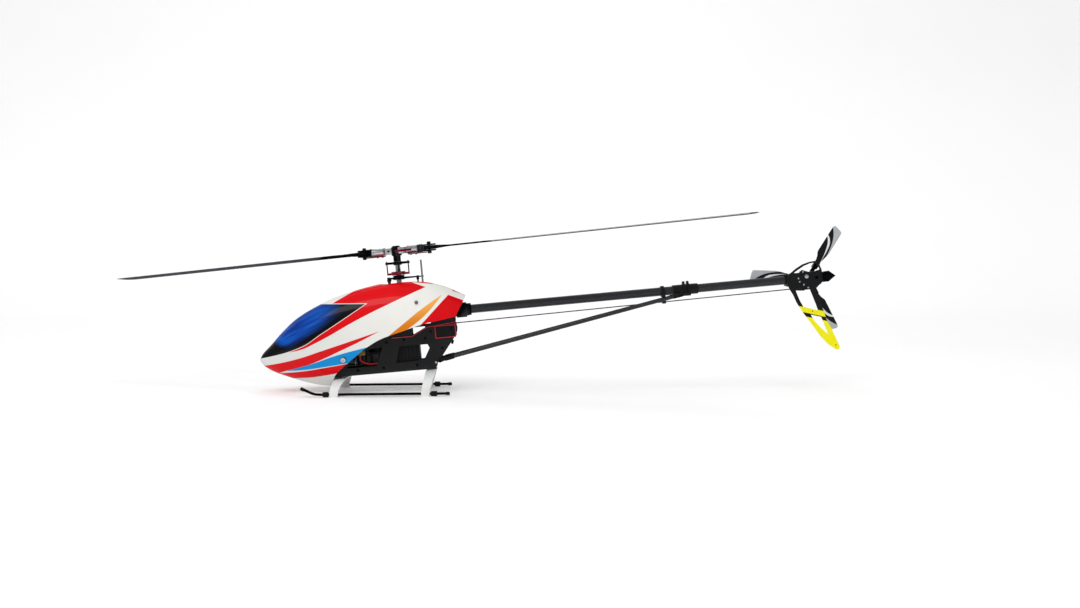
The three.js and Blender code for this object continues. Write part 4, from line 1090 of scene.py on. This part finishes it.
# ---- rotor head -----------------------------------------------------------

ROTOR_HEIGHT = 152.5
HUB_TOP = 161.5
GRIP_R = 9
FORK_START = 70
PITCH_ARM_END = 55
HUB_BLOCK_LOW = 146
MAST_BLOCK_HALF = 10
GRIP_AXIS = Vector(joint("grip_a_feather")["axis"])
ROTOR = basis(GRIP_AXIS, UP.cross(GRIP_AXIS), UP, Vector(MAST["pos_m"]))


def hub_and_cap():
    hub = refined("rotor_hub", SILVER, BLACK_METAL, edge=0.5, place=ROTOR)
    paint_part(hub, 1,
               lambda c: c.z < HUB_BLOCK_LOW or abs(c.x) < MAST_BLOCK_HALF)
    cap = Shape().turned(
        [(8.6, HUB_TOP), (9.2, HUB_TOP + 0.5), (9.2, HUB_TOP + 1.9), (8.4, HUB_TOP + 2.7),
         (4.6, HUB_TOP + 3), (4.3, HUB_TOP + 2.6), (4.2, HUB_TOP + 1.2)],
        ROW, sides=48, hexagon=(4, 5, 6))
    make("hub_cap", cap, "rotor", BLACK_METAL, place=ROTOR)
    # The bolt through the hub and mast, and the two pinching screws of its collar.
    for side in SIDES:
        screw("rotor", (0, 8.8 * side, 135), (0, side, 0), head=2.8, tall=2.6)
        screw("rotor", (17 * side, -8, ROTOR_HEIGHT), (0, -1, 0), head=2.2, tall=1.6)
        screw("rotor", (17 * side, 8, ROTOR_HEIGHT), (0, 1, 0), head=2.2, tall=1.6)
    dampers = Shape()
    for side in SIDES:
        dampers.turned([(6.4, 0), (7.2, 0.3), (7.2, 2.2), (6.4, 2.5)],
                       aim((27.2 * side, 0, ROTOR_HEIGHT), (side, 0, 0)))
    make("hub_dampers", dampers, "rotor", RED_METAL, place=ROTOR)


def grips():
    """Silver grips with black forks, red pitch arms and a red brace below each."""
    for letter, place in GRIPS.items():
        body = f"grip_{letter}"
        grip = refined(f"blade_grip_{letter}", SILVER, BLACK_METAL, RED_METAL,
                       edge=0.6, place=place)
        paint_part(grip, 1, lambda c: c.x > FORK_START)
        paint_part(grip, 2, lambda c: c.y < -GRIP_R - 1 and c.x < PITCH_ARM_END)
        brace = Shape().slab(
            [(32, -3.4), (80, -4.6), (82, -2), (82, 2), (80, 4.6), (32, 3.4), (30.5, 0)],
            -11.6, -9.3)
        make(f"grip_brace_{letter}", brace, body, RED_METAL, place=place, edge=0.4)
        rings = Shape()
        for x, wide in ((31.2, 1.8), (57, 2.2)):
            rings.turned([(GRIP_R, 0), (GRIP_R + 0.9, 0.3), (GRIP_R + 0.9, wide - 0.3),
                          (GRIP_R, wide)], aim((x, 0, 0), (1, 0, 0)), sides=40)
        make(f"grip_rings_{letter}", rings, body, SILVER, place=place)
        for y in (-5, 5):
            screw(body, (66, y, 8.4), (0, 0, 1), head=2, tall=1.6)
        for x in (38, 52):
            screw(body, (x, 0, -11.6), (0, 0, -1), head=2, tall=1.6)
        ball = Shape().turned(
            [(1.6, -2.6), (2.6, -3.0), (2.6, -3.6), (1.6, -4)], aim((20, -30, 0), (0, 0, 1)))
        make(f"pitch_ball_{letter}", ball, body, STEEL, place=place)
        ends = Shape()
        for side in SIDES:
            ends.turned(
                [(3.2, 9), (4.6, 9.4), (4.6, 13.2), (3.9, 14), (2.5, 14), (2.4, 12)],
                aim((BLADE_BOLT, 0, 0), (0, 0, side)), sides=24, hexagon=(4, 5))
        make(f"blade_bolt_{letter}", ends, body, BLACK_METAL, place=place)


LINK_Y = 18.5
SWASH_ARM_Z = 88
# Each cyclic link: x, y, and the height of its servo arm's ball.
CYCLIC_LINKS = {"left": (-23, -LINK_Y, 42), "right": (-23, LINK_Y, 19), "rear": (43, LINK_Y, 28)}


def cyclic_links():
    """Steel rods with ball links, from each cyclic servo's arm up to the swashplate."""
    for word, (x, y, low) in CYCLIC_LINKS.items():
        top = SWASH_ARM_Z - 4.2
        rod = Shape().swept([(x, y, low + 9), (x, y, top - 7)], 1.25, 16)
        make(f"cyclic_rod_{word}", rod, "swash", STEEL)
        ends = Shape()
        ball_end(ends, (x, y, low), (0, 0, 1), (0, 1, 0), neck=15)
        ball_end(ends, (x, y, top), (0, 0, -1), (0, 1, 0), neck=14)
        make(f"cyclic_ends_{word}", ends, "swash", BLACK_PLASTIC)


hub_and_cap()
grips()
cyclic_links()


# ---- tail rotor -----------------------------------------------------------

TAIL_X = 1000
TAIL_Y = 44
TAIL_ARM = 13
TAIL_ARM_X = 18
SLIDER_Y = 28.2


def tail_rotor_parts():
    links = Shape()
    for number, (letter, place) in enumerate(TAIL_GRIPS.items(), 1):
        body = f"tail_grip_{letter}"
        refined(f"tail_grip_{number}", BLACK_METAL, edge=0.5, place=place)
        screw(body, (31, 4.2, 5), (0, 0, 1), head=1.5, tall=1.2)
        screw(body, (31, -4.2, 5), (0, 0, 1), head=1.5, tall=1.2)
        ring = Shape().turned([(5, 0), (5.7, 0.3), (5.7, 1.5), (5, 1.8)],
                              aim((12, 0, 0), (1, 0, 0)))
        make(f"tail_grip_ring_{number}", ring, body, SILVER, place=place)
        at = AIRFRAME.inverted() @ place @ (Vector((TAIL_ARM_X, TAIL_ARM, 0)) * MM) / MM
        low = Vector((at.x, SLIDER_Y + 2.4, at.z))
        high = Vector((at.x, TAIL_Y - 3.2, at.z))
        links.swept([low, high], 1.3, 14)
        for point in (low, high):
            links.turned([(1.2, -1.4), (2.6, -1.2), (2.9, 0), (2.6, 1.2), (1.2, 1.4)],
                         aim(point, (0, 1, 0)), sides=20)
    make("tail_links", links, "slider", BLACK_PLASTIC)
    nut = Shape().turned(
        [(3, TAIL_Y + 7), (6.6, TAIL_Y + 7.1), (7, TAIL_Y + 7.6), (7, TAIL_Y + 9),
         (6.2, TAIL_Y + 9.6), (4.2, TAIL_Y + 9.8), (4, TAIL_Y + 8)],
        aim((TAIL_X, 0, 0), (0, 1, 0)), sides=36, hexagon=(5, 6))
    make("tail_hub_nut", nut, "tail_rotor", SILVER)
    shaft = Shape().turned([(1.2, 16.4), (2.9, 16.6), (3.3, 17.4), (3.3, 18.4), (2.4, 19.1),
                            (1.4, 19.2)], aim((TAIL_X, 0, 0), (0, -1, 0)))
    make("tail_shaft_end", shaft, "tail_rotor", BLACK_METAL)


TAIL_BOLTS = [(967, 17), (955, 2), (967, -14), (957, -6), (977, -22)]


def tail_case_details():
    """The case's cover screws, the rear lug's ring and the fin's spacers."""
    for x, z in TAIL_BOLTS:
        button_screw("frame", (x, -17.2, z), (0, -1, 0), head=2.4, bright=True)
    cap = Shape().turned([(2, 0), (4.6, 0), (5, 0.6), (5, 1.6), (4.2, 2.6), (2.4, 3), (1, 3)],
                         aim((975, -17.2, 5), (0, -1, 0)), sides=32)
    make("bearing_cap", cap, "frame", SILVER)
    ring = Shape().turned([(3.6, 0), (5, 0.3), (5, 1.2), (3.6, 1.5)],
                          aim((1028, -14.5, 1), (0, -1, 0)), sides=32)
    make("tail_lug_ring", ring, "frame", BLACK_METAL)
    screw("frame", (1028, -14.5, 1), (0, -1, 0), head=2.6, tall=1.4)
    for x, z in ((983, -80), (1034, -167)):
        button_screw("frame", (x, -17.2, z), (0, -1, 0), head=1.5, tall=0.6)
    for x in (932, 950):
        for side in SIDES:
            screw("frame", (x, 0, 14.6 * side), (0, 0, side), head=2.2, tall=1.8)


tail_rotor_parts()
tail_case_details()


# ---- the frame's small parts ----------------------------------------------

PLATE_OUT = 31.5
PLAQUE = [(74, -61), (123, -61), (123, -31), (74, -31)]
RED_EDGE = [(-27, -49), (20, -49), (57, -31), (120, -25), (124, -29)]
# Where the frame's bolts stand on its side plates.
LOWER_BOLTS = [
    (-112, -62), (-112, -118), (-52, -118), (-40, -60), (0, -57), (26, -118), (50, -58),
    (70, -116), (88, -84), (112, -74), (64, -44), (112, -40),
]


def rounded(corners, radius, steps=5):
    """An anticlockwise outline with its corners rounded."""
    made = []
    count = len(corners)
    for i in range(count):
        before, here, after = (Vector(corners[(i + k) % count]) for k in (-1, 0, 1))
        a, b = (before - here).normalized(), (after - here).normalized()
        reach = radius / math.tan(math.acos(max(-1, min(1, a.dot(b)))) / 2)
        start, end = here + a * reach, here + b * reach
        for k in range(steps + 1):
            t = k / steps
            made.append(tuple((1 - t) ** 2 * start + 2 * t * (1 - t) * here + t * t * end))
    return made


def side_place(side):
    """Local x aft, local y up, local z out of the airframe on that side for starboard."""
    return Matrix(((1, 0, 0, 0), (0, 0, side, 0), (0, 1, 0, 0), (0, 0, 0, 1)))


def turned_over(outline, side):
    return outline if side == PORT else list(reversed(outline))


def frame_trim():
    """The blank plaque in its red border, and the red strip along the plate's top edge."""
    for side, word in zip(SIDES, ("left", "right")):
        place = side_place(side)
        border, field, strip = Shape(), Shape(), Shape()
        border.slab(turned_over(rounded(PLAQUE, 3), side), PLATE_OUT, PLATE_OUT + 0.7, place)
        inner = [(x + (2 if x < 100 else -2), z + (2 if z < -50 else -2)) for x, z in PLAQUE]
        field.slab(turned_over(rounded(inner, 2), side), PLATE_OUT + 0.4, PLATE_OUT + 1, place)
        make(f"plaque_border_{word}", border, "frame", RED_STRIPE, edge=0.2)
        make(f"plaque_field_{word}", field, "frame", BLACK_PLASTIC, edge=0.2)
        low = [(x, z - 2.2) for x, z in RED_EDGE]
        high = [(x, z - 0.7) for x, z in reversed(RED_EDGE)]
        strip.slab(turned_over([*low, *high], side), PLATE_OUT, PLATE_OUT + 0.3, place)
        make(f"edge_stripe_{word}", strip, "frame", RED_STRIPE)


def frame_bolts():
    for side in SIDES:
        out = (0, side, 0)
        for x, z in LOWER_BOLTS:
            button_screw("frame", (x, side * PLATE_OUT, z), out, bright=(x, z) == (70, -116))


def receiver_tray():
    """Upright panels under and beside the motor, with the receiver strapped to one."""
    panel, box, straps = Shape(), Shape(), Shape()
    place = side_place(PORT)
    outline = rounded([(-118.5, -123.6), (-37, -123.6), (-37, -82), (-87, -82), (-87, -62),
                       (-118.5, -62)], 3)
    panel.slab(outline, -5.5, -4, place)
    panel.slab(rounded([(-118.5, -100), (-37, -100), (-37, -58), (-118.5, -58)], 3), -26, -24.6,
               place)
    make("receiver_tray", panel, "frame", CARBON_SIDE, edge=0.3)
    box.slab(rounded([(-92, -113), (-50, -113), (-50, -85), (-92, -85)], 2), -3.9, 3.6, place)
    make("receiver", box, "frame", SERVO_CASE, edge=0.8)
    for x in (-84, -64):
        straps.slab([(x, -114), (x + 6, -114), (x + 6, -84), (x, -84)], -3.9, 4.2, place)
    make("receiver_straps", straps, "frame", RUBBER, edge=0.4)


frame_trim()
frame_bolts()
receiver_tray()


# ---- screws, gathered into one piece for each body -----------------------

SCREW_FRAMES = {
    "rotor": ROTOR, **{f"grip_{letter}": place for letter, place in GRIPS.items()},
    **{f"tail_grip_{letter}": place for letter, place in TAIL_GRIPS.items()}}
for (body, bright), shape in screws.items():
    word = "bright" if bright else "dark"
    make(f"screws_{body}_{word}", shape, body, SILVER if bright else BLACK_METAL,
         place=SCREW_FRAMES.get(body, AIRFRAME))


# ---- studio ---------------------------------------------------------------

CAMERA_FROM_MAST = Vector((0.1715, -2.2015, 0.0831))
CAMERA_YAW = -4.02
CAMERA_PITCH = 88.5
CAMERA_ROLL = -0.08
CAMERA_LENS = 30.81
FLOOR_FRONT = -30.0
FLOOR_BACK = 5.0
FLOOR_HALF = 30.0
BACKDROP_BEND = 3.0
BACKDROP_TOP = 12.0


def studio_floor():
    """One sheet of paper, flat under the model and curved up far behind it."""
    profile = [(FLOOR_FRONT, 0.0), (FLOOR_BACK, 0.0)]
    profile += [
        (FLOOR_BACK + BACKDROP_BEND * math.sin(a), BACKDROP_BEND * (1 - math.cos(a)))
        for a in (math.pi / 2 * k / 16 for k in range(1, 17))
    ]
    profile.append((FLOOR_BACK + BACKDROP_BEND, BACKDROP_TOP))
    points = [(x, y, z) for y, z in profile for x in (-FLOOR_HALF, FLOOR_HALF)]
    faces = [(2 * i, 2 * i + 1, 2 * i + 3, 2 * i + 2) for i in range(len(profile) - 1)]
    mesh = bpy.data.meshes.new("floor")
    mesh.from_pydata(points, [], faces)
    mesh.shade_smooth()
    mesh.materials.append(backdrop())
    floor = bpy.data.objects.new("floor", mesh)
    bpy.context.scene.collection.objects.link(floor)


def lamp(name, kind, power, at, target, reflected):
    data = bpy.data.lights.new(name, kind)
    data.energy = power
    made = bpy.data.objects.new(name, data)
    made.location = at
    made.rotation_euler = (Vector(target) - Vector(at)).to_track_quat("-Z", "Y").to_euler()
    made.visible_glossy = reflected
    bpy.context.scene.collection.objects.link(made)
    return data


def softbox(name, at, target, size, power, reflected=True):
    data = lamp(name, "AREA", power, at, target, reflected)
    data.shape = "RECTANGLE"
    data.size, data.size_y = size


def studio():
    studio_floor()
    softbox("key_light", (-1.4, -2.2, 2.6), (0, 0, 0.2), (1.9, 0.9), 22)
    softbox("top_light", (0.3, 0.2, 2.8), (0.1, 0, 0.2), (3.2, 0.9), 14, reflected=False)
    softbox("backdrop_light", (0, 2.5, 5.5), (0, 8, 1.0), (6.0, 1.0), 60)
    sun = lamp("wide_light", "SUN", 1.35, (-0.25, -1, 1.15), (0, 0, 0), False)
    sun.angle = math.radians(70)
    world = bpy.data.worlds.new("studio")
    world.use_nodes = True
    tree = world.node_tree
    background = tree.nodes["Background"]
    background.inputs["Color"].default_value = (1, 1, 1, 1)
    # The air around the paper looks as pale as the paper, and lights the model softly.
    strength = tree.nodes.new("ShaderNodeMapRange")
    strength.inputs["To Min"].default_value = 0.42
    strength.inputs["To Max"].default_value = 0.95
    seen = tree.nodes.new("ShaderNodeLightPath").outputs["Is Camera Ray"]
    tree.links.new(seen, strength.inputs["Value"])
    tree.links.new(strength.outputs[0], background.inputs["Strength"])
    scene = bpy.context.scene
    scene.world = world
    scene.view_settings.view_transform = "Standard"
    scene.view_settings.look = "None"


def camera():
    data = bpy.data.cameras.new("camera")
    data.lens = CAMERA_LENS
    data.clip_start = 0.05
    data.clip_end = 60
    made = bpy.data.objects.new("camera", data)
    made.location = Vector(MAST["pos_m"]) + CAMERA_FROM_MAST
    turn = (Matrix.Rotation(math.radians(CAMERA_YAW), 4, "Z")
            @ Matrix.Rotation(math.radians(CAMERA_PITCH), 4, "X")
            @ Matrix.Rotation(math.radians(CAMERA_ROLL), 4, "Z"))
    made.rotation_euler = turn.to_euler()
    bpy.context.scene.collection.objects.link(made)
    bpy.context.scene.camera = made


studio()
camera()

bpy.context.view_layer.update()
